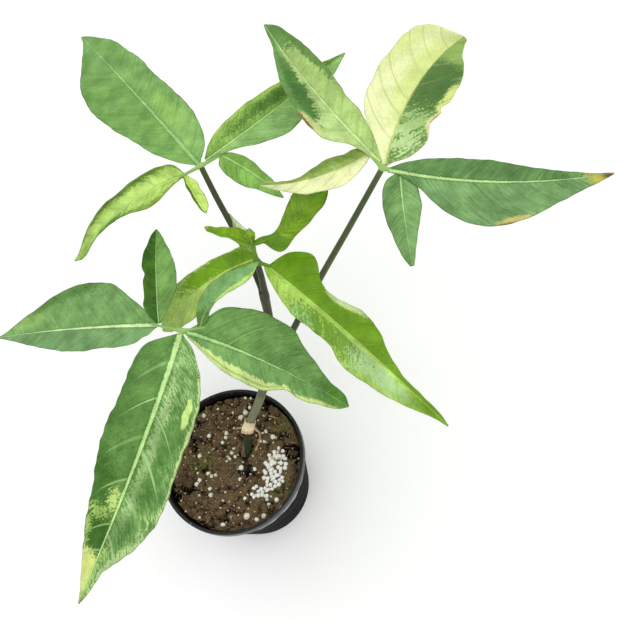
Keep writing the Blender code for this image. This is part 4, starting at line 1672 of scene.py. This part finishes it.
@dataclass
class CompoundLeaf:
    """A leaf divided into leaflets, with the knot and arms that carry them."""

    name: str
    node: str
    slot: Slot
    knot: Point
    arms: tuple[Point, ...]
    leaflets: tuple[Leaflet, ...]
    arm_radius: float = 1.3
    knot_radius: float = 2.1
    arm_finish: ShootFinish = RACHIS_FINISH

    def build(self, tree: Tree) -> Piece:
        """Build the leaflets, the knot and the arms, and join them.

        Args:
            tree: the geometry tree for shoots.

        Returns:
            The finished leaf.
        """
        pieces = [leaflet.build() for leaflet in self.leaflets]
        knot = np.array(self.knot, float)
        for index, arm in enumerate(self.arms):
            end = np.array(arm, float)
            reach = (end - knot) / np.linalg.norm(end - knot)
            far_end = end + reach * 3 * self.arm_radius
            line = (tuple(knot - reach * 1.5), tuple((knot + end) / 2), tuple(far_end))
            swell = ((1.5, self.knot_radius - self.arm_radius, 2.2),)
            pieces.append(Shoot(
                f"{self.name}_arm_{index}", line, self.arm_radius, self.arm_radius * 0.55, self.arm_finish,
                self.slot, swellings=swell, sides=18, spacing=0.7,
            ).build(tree))
        leaf = join_pieces(pieces)
        leaf.name = self.name
        leaf.data.name = self.name
        seat_piece(leaf, self.slot, self.node)
        return leaf


@dataclass
class Petioles:
    """The stalks that carry the leaves, each growing out of the stem's skin and ending under its knot."""

    trim: float = 0.6

    def build(self, tree: Tree) -> list[Piece]:
        """Grow and seat the petioles.

        Args:
            tree: the geometry tree for shoots.

        Returns:
            The finished petioles.
        """
        built = []
        for name, points, start, end in self.lines():
            stalk = Shoot(
                f"{name}_stalk", points, start, end, PETIOLE_FINISH, Slot.PETIOLE,
                swellings=((4.0, 0.6, 4.5),), trim=self.trim, groove=0.12, spacing=1.1,
            ).build(tree)
            if name == "petiole_a":
                stalk = join_pieces([stalk, WING.build()])
            seat_piece(stalk, Slot.PETIOLE, name)
            built.append(stalk)
        return built

    def lines(self) -> tuple[tuple[str, tuple[Point, ...], float, float], ...]:
        """Each petiole's solid, its points and its two radii."""
        return (
            ("petiole_a", ((45.7, 79, 184), (45, 83, 191), (43.2, 87.5, 196), (38, 99, 203), (27, 117, 212),
                           (18, 132, 227), (11, 145, 241)), 2.3, 1.8),
            ("petiole_b", ((30.5, 48, 119), (33.5, 48.3, 120.5), (38, 50.5, 125), (42, 54.5, 132),
                           (48.5, 61, 143.5), (62, 70, 165), (85, 86, 200), (110, 101, 237),
                           (133, 118, 269)), 2.5, 1.7),
            ("petiole_c", ((34.2, 54.2, 131.5), (30.5, 55.2, 133), (26.8, 56.2, 138.5), (25, 58, 150),
                           (26, 60, 172), (18, 57, 190), (8, 50, 200), (4, 46, 209)), 2.3, 1.8),
            ("petiole_d", ((46, 78.6, 184), (46.9, 81.5, 192), (47.8, 85, 202), (48, 90, 215)), 2.4, 2.0),
        )


WING = Leaflet(
    "sheath_wing", (42, 92, 201), 40, 118, 24, (1, 1, 1, 1, 1), (4, 8, 9, 6, 2),
    BladeFinish(
        "#b7cf8d", "#cbdba6", "#dfe8c4", "#e6edcf", flecks=(0.5, 0.5), rib="#8ea95c", veins=(0.1, 0.1),
        edge="#9db374", seed=0.9,
    ),
    right_lift=30, wave=0.4, veins=3,
)

LEAF_A = CompoundLeaf(
    "leaf_a_blades", "leaf_a", Slot.GREEN, (11, 145, 241), ((1, 139, 241), (24, 151, 243)),
    (
        Leaflet(
            "A1", (10, 145.5, 242), 181, 133, 2, (9, 18, 23, 28, 31, 29, 23, 12, 3),
            (12, 19, 21, 20, 19, 19, 17, 14, 6),
            BladeFinish(
                "#7dac5c", "#80b061", "#8fbd6c", "#9ac878", flecks=(0.2, 0.2), shade="#649648",
                shades=(0.22, 0.2), rib="#a6d185", rib_width=1.3, vein="#9fcb7e", veins=(0.4, 0.35),
                vein_width=0.4, streak=(1.5, 14.0), seed=0.13, markings=(
                    Marking("#a2d078", 0.16, 0.45, 0.16, 0.5, ragged=1.2, soft=0.4, amount=0.6),
                    Marking("#9fca62", 0.3, 0.4, 0.12, 0.3, RIGHT, ragged=1.4, soft=0.4, amount=0.5),
                    Marking("#6c9d4c", 0.85, 0.6, 0.2, 0.6, RIGHT, ragged=0.8, soft=0.5, amount=0.5),
                    Marking("#6c9d4c", 0.75, -0.9, 0.3, 0.3, LEFT, ragged=0.8, soft=0.5, amount=0.6),
                ),
            ),
            droop=15, veins=8, waves=5,
        ),
        Leaflet(
            "A2", (1, 139, 241), 98, -165, -8, (4, 10, 12, 8, 3, 3, 4, 5), (10, 15, 14, 14, 14, 11, 8, 1),
            BladeFinish(
                "#b2d66a", "#b4d96e", "#c9ea82", "#c9ec84", flecks=(0.4, 0.45), shade="#86a842",
                shades=(0.45, 0.4), rib="#c6e886", rib_width=0.7, vein="#8fb350", veins=(0.3, 0.3),
                edge="#6f9a34", edge_amount=0.8, seed=0.41, markings=(
                    Marking("#6b8c34", 0.45, 1.0, 0.55, 0.36, RIGHT, ragged=1.1, soft=0.25, amount=0.85),
                    Marking("#4f7530", 0.4, 0.86, 0.3, 0.08, RIGHT, ragged=1.6, amount=0.7),
                    Marking("#6d8f34", 0.45, -1.0, 0.5, 0.34, LEFT, ragged=1.3, soft=0.25, amount=0.8),
                    Marking("#5f9048", 0.62, -0.6, 0.12, 0.5, LEFT, ragged=1.4, amount=0.8),
                    Marking("#c9ec80", 0.4, 0.2, 0.4, 0.28, RIGHT, ragged=0.9, amount=0.6),
                ),
            ),
            sweep=28, droop=18,
        ),
        Leaflet(
            "A3", (1, 139, 241), 31, -56, -9, (2, 5, 5, 5, 4), (2, 3, 3, 3, 2),
            BladeFinish(
                "#d6f482", "#d6f482", "#c4e670", "#c4e670", shade="#b0d45e", rib="#b7da68", rib_width=0.5,
                veins=(0.1, 0.1), edge="#6f9a34", seed=0.77, markings=(
                    Marking("#557f30", 0.5, 1.0, 0.8, 0.5, RIGHT, ragged=0.4, soft=0.15),
                ),
            ),
            veins=3, left_lift=20, right_lift=24,
        ),
        Leaflet(
            "A4", (14, 148.5, 242), 112, 32, 9, (8, 14, 16, 15, 15, 12, 8, 3),
            (3, 8, 19, 24, 21, 17, 10, 4),
            BladeFinish(
                "#86ae56", "#93c070", "#a8cc66", "#a6d084", flecks=(0.35, 0.3), shade="#4f7a30",
                shades=(0.4, 0.2), rib="#c4e797", rib_width=0.8, veins=(0.25, 0.35), seed=0.29, markings=(
                    Marking("#4c7630", 0.6, -0.45, 0.4, 0.25, LEFT, ragged=1.6, amount=0.8),
                    Marking("#b4da68", 0.5, -0.95, 0.4, 0.14, LEFT, ragged=1.2, amount=0.6),
                ),
            ),
            sweep=19, droop=14, veins=7, left_lift=14, right_lift=12,
        ),
        Leaflet(
            "A5", (24, 151, 243), 53, -28, 1, (4, 6.5, 6, 5, 4, 1.5), (7, 10, 11, 9.5, 6, 3),
            BladeFinish(
                "#80ab52", "#85b356", "#96c463", "#9bc969", shade="#6d9c45", rib="#b4dd84", rib_width=0.7,
                veins=(0.2, 0.35), seed=0.63,
            ),
            sweep=-13, droop=12, veins=5,
        ),
    ),
)

LEAF_B = CompoundLeaf(
    "leaf_b_blades", "leaf_b", Slot.CREAM, (133, 118, 269), ((125.5, 126.3, 270.5), (143, 115, 269)),
    (
        Leaflet(
            "B1", (132, 121, 270), 130, 135, 11, (2, 5.5, 14, 16, 15.5, 14, 11.5, 7, 3, 1.5),
            (4.5, 9, 12, 12, 14, 15, 13.5, 12.5, 10, 6),
            BladeFinish(
                "#b9d587", "#b6d57e", "#cbe79a", "#c6e28f", shade="#93b766", shades=(0.25, 0.45),
                rib="#d3efa4", rib_width=0.8, vein="#93b766", veins=(0.3, 0.35), edge="#8fae5e", seed=0.55,
                markings=(
                    Marking("#6d9951", 0.69, -0.7, 0.36, 0.52, LEFT, soft=0.05, ragged=0.4),
                    Marking("#4d793d", 0.53, -0.6, 0.15, 0.4, LEFT, ragged=1.2, amount=0.8),
                    Marking("#7ba55d", 0.62, -0.9, 0.2, 0.16, LEFT, ragged=1.4, amount=0.7),
                    Marking("#618d48", 0.97, 0.3, 0.2, 1.0, ragged=0.6, soft=0.15, amount=0.95),
                    Marking("#a9c987", 0.8, -0.3, 0.07, 0.14, LEFT, ragged=2.2, soft=0.2, amount=0.5),
                    Marking("#618d48", 0.78, 1.0, 0.3, 0.4, RIGHT, ragged=0.6, soft=0.15, amount=0.9),
                    Marking("#cdd993", 0.34, -0.95, 0.08, 0.2, LEFT),
                    Marking("#96683a", 0.37, -1.02, 0.06, 0.12, LEFT, soft=0.2),
                ),
            ),
            sweep=-14, droop=17, veins=8,
        ),
        Leaflet(
            "B2", (134.5, 119.5, 270), 106, 81, 9, (4.5, 12.5, 21, 25.5, 26.5, 27.5, 28, 28, 24),
            (13, 20, 19, 23, 24, 22.5, 19, 11, 5),
            BladeFinish(
                "#eef6b8", "#6d9550", "#f6fbcb", "#93b96d", flecks=(0.3, 0.4), shade="#dbe894",
                shades=(0.3, 0.1), rib="#c3d47a", rib_width=0.6, vein="#c3d378", veins=(0.5, 0.25),
                vein_width=0.4, edge="#d3dd8c", streak=(2.0, 16.0), tones=(0.9, 1.07), seed=0.21,
                markings=(
                    Marking("#d3e884", 0.62, -0.12, 0.34, 0.3, LEFT, ragged=0.7, soft=0.5, amount=0.7),
                    Marking("#cfe07c", 0.8, -0.9, 0.2, 0.3, LEFT, ragged=0.3, soft=0.7, amount=0.6),
                    Marking("#9dbf76", 0.58, 0.35, 0.36, 0.4, RIGHT, ragged=2.4, amount=0.55),
                    Marking("#456a33", 0.56, 0.45, 0.32, 0.5, RIGHT, ragged=1.6, amount=0.8),
                    Marking("#cbe8a2", 0.17, 0.4, 0.13, 0.42, RIGHT, ragged=2.8, soft=0.2, amount=0.85),
                    Marking("#a9cc80", 0.27, 0.55, 0.06, 0.4, RIGHT, ragged=3.0, amount=0.8),
                    Marking("#9ebf64", 0.84, 0.5, 0.1, 0.8, RIGHT, ragged=0.8, amount=0.8),
                    Marking("#d9e88c", 0.47, 1.0, 0.12, 0.2, RIGHT, ragged=0.7, soft=0.2),
                    Marking("#e4dfa0", 0.28, 1.0, 0.09, 0.12, RIGHT),
                    Marking("#b98a6a", 0.31, 1.04, 0.05, 0.08, RIGHT),
                    Marking("#93ad4c", 1.0, 0.3, 0.1, 0.7, ragged=0.3, soft=0.8, amount=0.6),
                ),
            ),
            sweep=-26, droop=30, waves=4, notches=((RIGHT, 0.4, 0.025, 3.0),), blunt=True,
        ),
        Leaflet(
            "B3", (136.5, 116, 270), 125, -18, 2, (6, 11, 13.5, 13, 12.5, 10, 6, 4, 1.5),
            (1.5, 8.5, 21, 28, 26.5, 21.5, 14, 7.5, 3),
            BladeFinish(
                "#6a9357", "#7aa367", "#7fa868", "#91ba7b", flecks=(0.3, 0.45), shade="#4c7840",
                shades=(0.35, 0.3), rib="#c9ec9c", rib_width=1.2, veins=(0.3, 0.5), edge="#557a3e",
                seed=0.83, markings=(
                    Marking("#bfb753", 0.95, 0.0, 0.09, 1.3, soft=0.12),
                    Marking("#7a4d26", 1.0, 0.0, 0.06, 1.3),
                    Marking("#d0cc7c", 0.53, 1.0, 0.07, 0.14, RIGHT, soft=0.2),
                    Marking("#9a6f45", 0.5, 1.05, 0.04, 0.09, RIGHT),
                ),
            ),
            sweep=44, droop=26, veins=8,
        ),
        Leaflet(
            "B4", (143, 115, 269), 53, -84, -4, (6.5, 9.5, 10, 7.5, 5, 2.5), (8, 10.8, 10.5, 9, 6.5, 3.5),
            BladeFinish(
                "#7ca765", "#70995a", "#95c07a", "#8db873", flecks=(0.5, 0.4), shade="#5b8648",
                rib="#b7de95", rib_width=0.8, rib_end=0.6, veins=(0.35, 0.45), edge="#5a8448", seed=0.37,
            ),
            sweep=5, droop=31, veins=5, tip_half_width=1.0,
        ),
        Leaflet(
            "B5", (125.5, 126.5, 270.5), 69, -150, -6, (6.5, 12, 14, 12, 9, 5.5, 1.5),
            (7, 8, 8, 7, 2, 2, 2),
            BladeFinish(
                "#f3f7c0", "#8ca655", "#e8f2ac", "#a7c06c", flecks=(0.3, 0.4), shade="#d7e296",
                shades=(0.3, 0.1), rib="#d8e79c", rib_width=0.6, vein="#c3d37e", veins=(0.3, 0.2),
                edge="#b9c886", seed=0.47, markings=(
                    Marking("#6f8c3c", 0.35, 0.9, 0.4, 0.5, RIGHT, ragged=0.8, amount=0.7),
                ),
            ),
            sweep=-43, droop=7, veins=5, left_lift=16, right_lift=16,
        ),
    ),
)

LEAF_C = CompoundLeaf(
    "leaf_c_blades", "leaf_c", Slot.GREEN, (4, 46, 209), ((-14, 50, 209), (16, 47, 211)),
    (
        Leaflet(
            "C1", (-14, 50, 209), 125, 181, 0, (10, 14.5, 14.5, 17, 16, 13, 10, 6, 2),
            (8.5, 19, 29, 31.5, 32, 26.5, 19, 12.5, 3),
            BladeFinish(
                "#7ba46a", "#7eaa65", "#8cb57b", "#93c07a", flecks=(0.3, 0.3), shade="#5b8a47",
                rib="#dcfbb6", rib_width=1.4, rib_end=0.86, vein="#a9d48a", veins=(0.15, 0.4),
                vein_width=0.4, seed=0.15, markings=(
                    Marking("#9cc76a", 0.78, 0.6, 0.1, 0.4, RIGHT, ragged=1.2, soft=0.4, amount=0.6),
                    Marking("#527f38", 0.6, 0.95, 0.22, 0.25, RIGHT, ragged=1.0, amount=0.7),
                ),
            ),
            droop=16, veins=7, notches=((LEFT, 0.06, 0.02, 2.0),),
        ),
        Leaflet(
            "C2", (-13, 51.5, 209), 66, 100, 14, (4.5, 9, 8, 8.5, 9.5, 8.5, 6, 3.5),
            (5, 9.5, 14.5, 14, 13, 10.5, 7, 3),
            BladeFinish(
                # The left half's dark green is partly the leaf's own colour and partly painted shade
                "#456c20", "#77a257", "#5a8834", "#87b666", flecks=(0.35, 0.45), shade="#355617",
                shades=(0.3, 0.05), rib="#a8cf8a", rib_width=0.6, vein="#93bb74", veins=(0.1, 0.35),
                edge="#4b742c", seed=0.73,
            ),
            sweep=1, droop=19, veins=5, left_lift=14, right_lift=8, notches=((LEFT, 0.5, 0.05, 1.5),),
        ),
        Leaflet(
            "C3", (3.5, 44, 210), 180, -97, 0, (12.5, 24.5, 28.5, 29, 29.5, 27.5, 20, 8, 3.5),
            (19.5, 25.5, 26, 27.5, 26, 20.5, 17, 11, 3),
            BladeFinish(
                "#6f9b54", "#6b9650", "#b0d58d", "#7faa60", flecks=(0.24, 0.2), shade="#4f7e38",
                shades=(0.3, 0.2), rib="#cdf09f", rib_width=2.1, vein="#b3db90", veins=(0.7, 0.95),
                vein_width=0.8, edge="#4d7431", streak=(0.9, 4.0), crisp=0.7, seed=0.31, markings=(
                    # Painted shade along the undulating margin of the right half
                    Marking("#45702f", 0.4, 1.0, 0.5, 0.25, RIGHT, ragged=0.8, soft=0.6, amount=0.4),
                    Marking("#d3eba0", 0.3, -1.0, 0.3, 0.07, LEFT, ragged=1.6, soft=0.2, amount=0.8),
                    Marking("#c3e09a", 0.8, -0.9, 0.16, 0.24, LEFT, ragged=2.6, soft=0.15, amount=0.8),
                    Marking("#c5e29e", 0.42, -0.26, 0.34, 0.12, LEFT, ragged=3.6, soft=0.12, amount=0.55),
                    Marking("#cded8b", 0.257, -0.77, 0.05, 0.085, LEFT, ragged=0.3, soft=0.1),
                    Marking("#40682a", 0.62, 0.75, 0.15, 0.5, RIGHT, ragged=1.0, amount=0.6),
                    Marking("#406a2a", 0.74, 0.35, 0.09, 0.6, RIGHT, ragged=0.8, amount=0.8),
                    Marking("#c9e384", 0.6, 0.22, 0.035, 0.17, RIGHT, ragged=3.0, soft=0.15, amount=0.85),
                    Marking("#b0d272", 0.66, 0.55, 0.022, 0.28, RIGHT, ragged=3.2, soft=0.15, amount=0.75),
                    Marking("#b0d272", 0.72, 0.9, 0.05, 0.15, RIGHT, ragged=3.0, soft=0.15, amount=0.75),
                    Marking("#578541", 0.36, -0.6, 0.05, 0.25, LEFT, ragged=1.4, amount=0.6),
                    Marking("#578541", 0.52, -0.55, 0.06, 0.3, LEFT, ragged=1.4, amount=0.6),
                    Marking("#578541", 0.68, -0.45, 0.05, 0.3, LEFT, ragged=1.4, amount=0.6),
                    Marking("#d3e184", 0.95, 0.5, 0.155, 1.3, RIGHT, soft=0.06, ragged=0.4),
                    Marking("#b5d277", 0.9, -0.2, 0.12, 0.3, LEFT, ragged=1.8, soft=0.2, amount=0.7),
                ),
            ),
            sweep=-28, droop=34, scallop=0.75,
        ),
        Leaflet(
            "C4", (7, 45, 210), 112, -17, 6, (7, 21.5, 25.5, 27.5, 26.5, 25.5, 18, 12, 7, 5),
            (4.5, 9, 13.5, 16.5, 17, 16.5, 10.5, 11, 8.5, 5),
            BladeFinish(
                "#729b55", "#7eab65", "#86b36b", "#8ab76e", flecks=(0.3, 0.35), shade="#4d7838",
                shades=(0.4, 0.3), rib="#b3dd90", rib_width=1.3, rib_end=0.75, vein="#9cc97c",
                veins=(0.5, 0.25), vein_width=0.35, edge="#4a712e", seed=0.59, markings=(
                    Marking("#d8ef98", 0.34, 1.0, 0.38, 0.38, RIGHT, soft=0.1),
                    Marking("#7a9f48", 0.34, 0.84, 0.34, 0.04, RIGHT, soft=0.4, ragged=0.6, amount=0.5),
                    Marking("#d3ea93", 0.84, 1.0, 0.12, 0.3, RIGHT, soft=0.15),
                    Marking("#4c7a26", 0.96, -0.2, 0.13, 1.0, ragged=0.7, soft=0.4, amount=0.7),
                ),
            ),
            sweep=-5, droop=44, veins=7,
        ),
        Leaflet(
            "C5", (16, 47, 211), 58, 80, 15, (3, 7, 7.5, 6.5, 4.5, 2, 1), (3.5, 3, 4.5, 6, 9.5, 9.5, 6.5),
            BladeFinish(
                "#7fae6a", "#86b572", "#8fbd7a", "#94c07c", flecks=(0.3, 0.3), shade="#64934f",
                rib="#8fb873", rib_width=0.5, veins=(0.2, 0.3), edge="#4f7b33", seed=0.89, markings=(
                    Marking("#c0e07e", 0.65, 0.95, 0.4, 0.28, RIGHT, soft=0.12, ragged=0.4),
                    Marking("#5d8340", 0.08, 0.0, 0.14, 1.2, ragged=0.6),
                ),
            ),
            sweep=-70, veins=5,
        ),
    ),
)

LEAF_D = CompoundLeaf(
    "leaf_d_blades", "leaf_d", Slot.YOUNG, (48, 90, 215), ((48, 96, 228), (53, 88, 216)),
    (
        Leaflet(
            "D1", (53.5, 88, 216), 149, -38, 3, (15, 22.5, 13, 11.5, 15, 13.5, 7, 3, 2.5, 2),
            (5, 10, 13.5, 13, 12.5, 17, 15.5, 12.5, 7.5, 2),
            BladeFinish(
                "#739f27", "#b0d662", "#7fab36", "#c4e67c", flecks=(0.3, 0.35), shade="#8cb647",
                shades=(0.0, 0.4), rib="#b7dc70", rib_width=0.6, vein="#9cc552", veins=(0.15, 0.25),
                edge="#7fa640", seed=0.43, markings=(
                    Marking("#b6da9a", 0.66, 0.42, 0.2, 0.42, RIGHT, ragged=1.8, amount=0.9),
                    Marking("#9cc486", 0.3, 0.7, 0.08, 0.35, RIGHT, ragged=1.4, amount=0.8),
                    Marking("#6f9c34", 0.4, 0.5, 0.14, 0.5, RIGHT, ragged=2.4, soft=0.25, amount=0.85),
                    Marking("#c6e77e", 0.4, 0.08, 0.45, 0.07, RIGHT, ragged=1.6, soft=0.4, amount=0.6),
                    Marking("#cbe29a", 0.385, -1.0, 0.1, 0.25, LEFT, soft=0.2),
                    Marking("#5b8518", 0.2, -0.5, 0.16, 0.4, LEFT, ragged=0.8, soft=0.5, amount=0.5),
                    Marking("#769f32", 0.97, 0.0, 0.16, 1.2, soft=0.4),
                ),
            ),
            sweep=-1, droop=31, veins=8, notches=((LEFT, 0.0, 0.025, 9.0),),
        ),
        Leaflet(
            "D2", (47, 92.5, 215), 87, -169, -11, (10, 12, 13.5, 14.5, 15.5, 13, 7),
            (11, 12, 12.5, 14.5, 14, 14, 8),
            BladeFinish(
                "#b9d474", "#bcd77a", "#cbe48c", "#c6df84", shade="#9cbb55", rib="#cbe07e", rib_width=0.5,
                vein="#a6c660", veins=(0.15, 0.15), edge="#a9c46a", seed=0.67, markings=(
                    Marking("#73a016", 0.34, 0.5, 0.34, 0.48, RIGHT, ragged=1.0, soft=0.25, amount=0.95),
                    Marking("#6c9a14", 0.12, 0.3, 0.2, 0.7, ragged=0.6, soft=0.4, amount=0.85),
                ),
            ),
            sweep=31, droop=25, veins=5,
        ),
        Leaflet(
            "D3", (48, 96, 228), 35, 160, 12, (4, 3, 3, 3, 2.5), (6, 6, 5, 2.5, 1.5),
            BladeFinish(
                "#6f9a14", "#7ca12a", "#79a51f", "#86ad31", flecks=(0.2, 0.2), shade="#5c830f",
                shades=(0.2, 0.2), rib="#8fb838", rib_width=0.4, veins=(0.0, 0.0), edge="#8fae4a",
                seed=0.27, markings=(
                    Marking("#b6cf70", 1.0, 0.0, 0.08, 1.2, ragged=0.4, soft=0.4, amount=0.6),
                ),
            ),
            droop=22, veins=3,
        ),
        Leaflet(
            "D4", (48, 95.5, 228), 62, 6, 6, (3, 3, 7, 11.5, 11, 5.5), (4, 13, 8.5, 9, 11, 8),
            BladeFinish(
                "#71952e", "#6f9726", "#8fb24a", "#8db23c", shade="#52761a", shades=(0.3, 0.25),
                rib="#86ab3c", rib_width=0.5, vein="#a4c95e", veins=(0.2, 0.3), edge="#5c8020", seed=0.51,
                markings=(
                    Marking("#5f8a16", 0.12, 0.0, 0.18, 1.3, soft=0.4, amount=0.8),
                ),
            ),
            sweep=88, veins=4, notches=((RIGHT, 0.12, 0.07, 4.5),),
        ),
        Leaflet(
            "D5", (48, 97, 228), 11, 110, 70, (2, 3, 3, 2, 1), (2, 3, 3, 2, 1),
            BladeFinish(
                "#7ca12a", "#7ca12a", "#9cbf4c", "#9cbf4c", shade="#6b9020", rib="#b6d46c", rib_width=0.4,
                veins=(0.1, 0.1), edge="#9db95a", seed=0.95,
            ),
            droop=120, veins=3,
        ),
    ),
    arm_finish=ShootFinish(
        bands=((0, "#55791b"), (6, "#6c9222")), light="#8fb244", dark="#3f5c14", lines=0.3, roughness=0.42,
    ),
    arm_radius=1.6, knot_radius=2.8,
)


@dataclass
class Studio:
    """The pale floor, the soft lights and the camera at the photograph's angle."""

    camera_place: Point = (216.1, -147.2, 653.4)
    right: Point = (0.9674, 0.1055, -0.2304)
    up: Point = (0.0, 0.9092, 0.4163)
    look: Point = (-0.2534, 0.4027, -0.8796)
    lens: float = 48.34
    sensor: float = 36.0
    floor_half: float = 2600.0
    room_light: float = 0.8
    finish: FloorFinish = field(default_factory=FloorFinish)

    def build(self) -> None:
        """Lay the floor, hang the lights and set the camera."""
        self.lay_floor()
        self.hang_lights()
        self.set_camera()
        bpy.context.scene.view_settings.view_transform = "Standard"
        log.info("studio: floor, lights and camera are in place")

    def lay_floor(self) -> None:
        """A wide flat sheet of paper under the pot."""
        half = self.floor_half
        corners = np.array([(-half, -half, 0), (half, -half, 0), (half, half, 0), (-half, half, 0)], float)
        floor = mesh_object("paper_floor", corners, [(0, 1, 2, 3)])
        floor.data.materials.append(self.finish.skin())

    def hang_lights(self) -> None:
        """A white room and two wide, far soft boxes, the brighter one over the right shoulder."""
        world = bpy.data.worlds.new("white room")
        world.use_nodes = True
        glow = world.node_tree.nodes["Background"].inputs
        glow["Color"].default_value = (1.0, 1.0, 1.0, 1.0)
        glow["Strength"].default_value = self.room_light
        bpy.context.scene.world = world
        for name, place, angle, power in (
            ("key softbox", (620, -430, 1800), 40, 0.62),
            ("fill softbox", (-900, 700, 1700), 70, 0.3),
        ):
            light = bpy.data.lights.new(name, "SUN")
            light.angle = math.radians(angle)
            light.energy = power
            lamp = add_object(name, light)
            lamp.location = Vector(place) * MM
            lamp.rotation_euler = (-lamp.location).to_track_quat("-Z", "Y").to_euler()

    def set_camera(self) -> None:
        """The camera, above the plant and a little in front of it."""
        data = bpy.data.cameras.new("photo camera")
        data.lens = self.lens
        data.sensor_width = self.sensor
        camera = add_object("photo camera", data)
        turn = Matrix((self.right, self.up, tuple(-x for x in self.look))).transposed()
        camera.matrix_world = Matrix.Translation(Vector(self.camera_place) * MM) @ turn.to_4x4()
        bpy.context.scene.camera = camera


def main() -> None:
    """Build the studio and every piece of the plant, in order."""
    logging.basicConfig(level=logging.INFO, format="%(name)s: %(message)s")
    Studio().build()
    pot = NurseryPot()
    pot.build()
    PottingSoil().build(pot)
    shoots = shoot_tree()
    Stem().build(shoots)
    NodeSheath().build(shoots)
    Petioles().build(shoots)
    for leaf in (LEAF_A, LEAF_B, LEAF_C, LEAF_D):
        leaf.build(shoots)


if __name__ == "__main__":
    main()
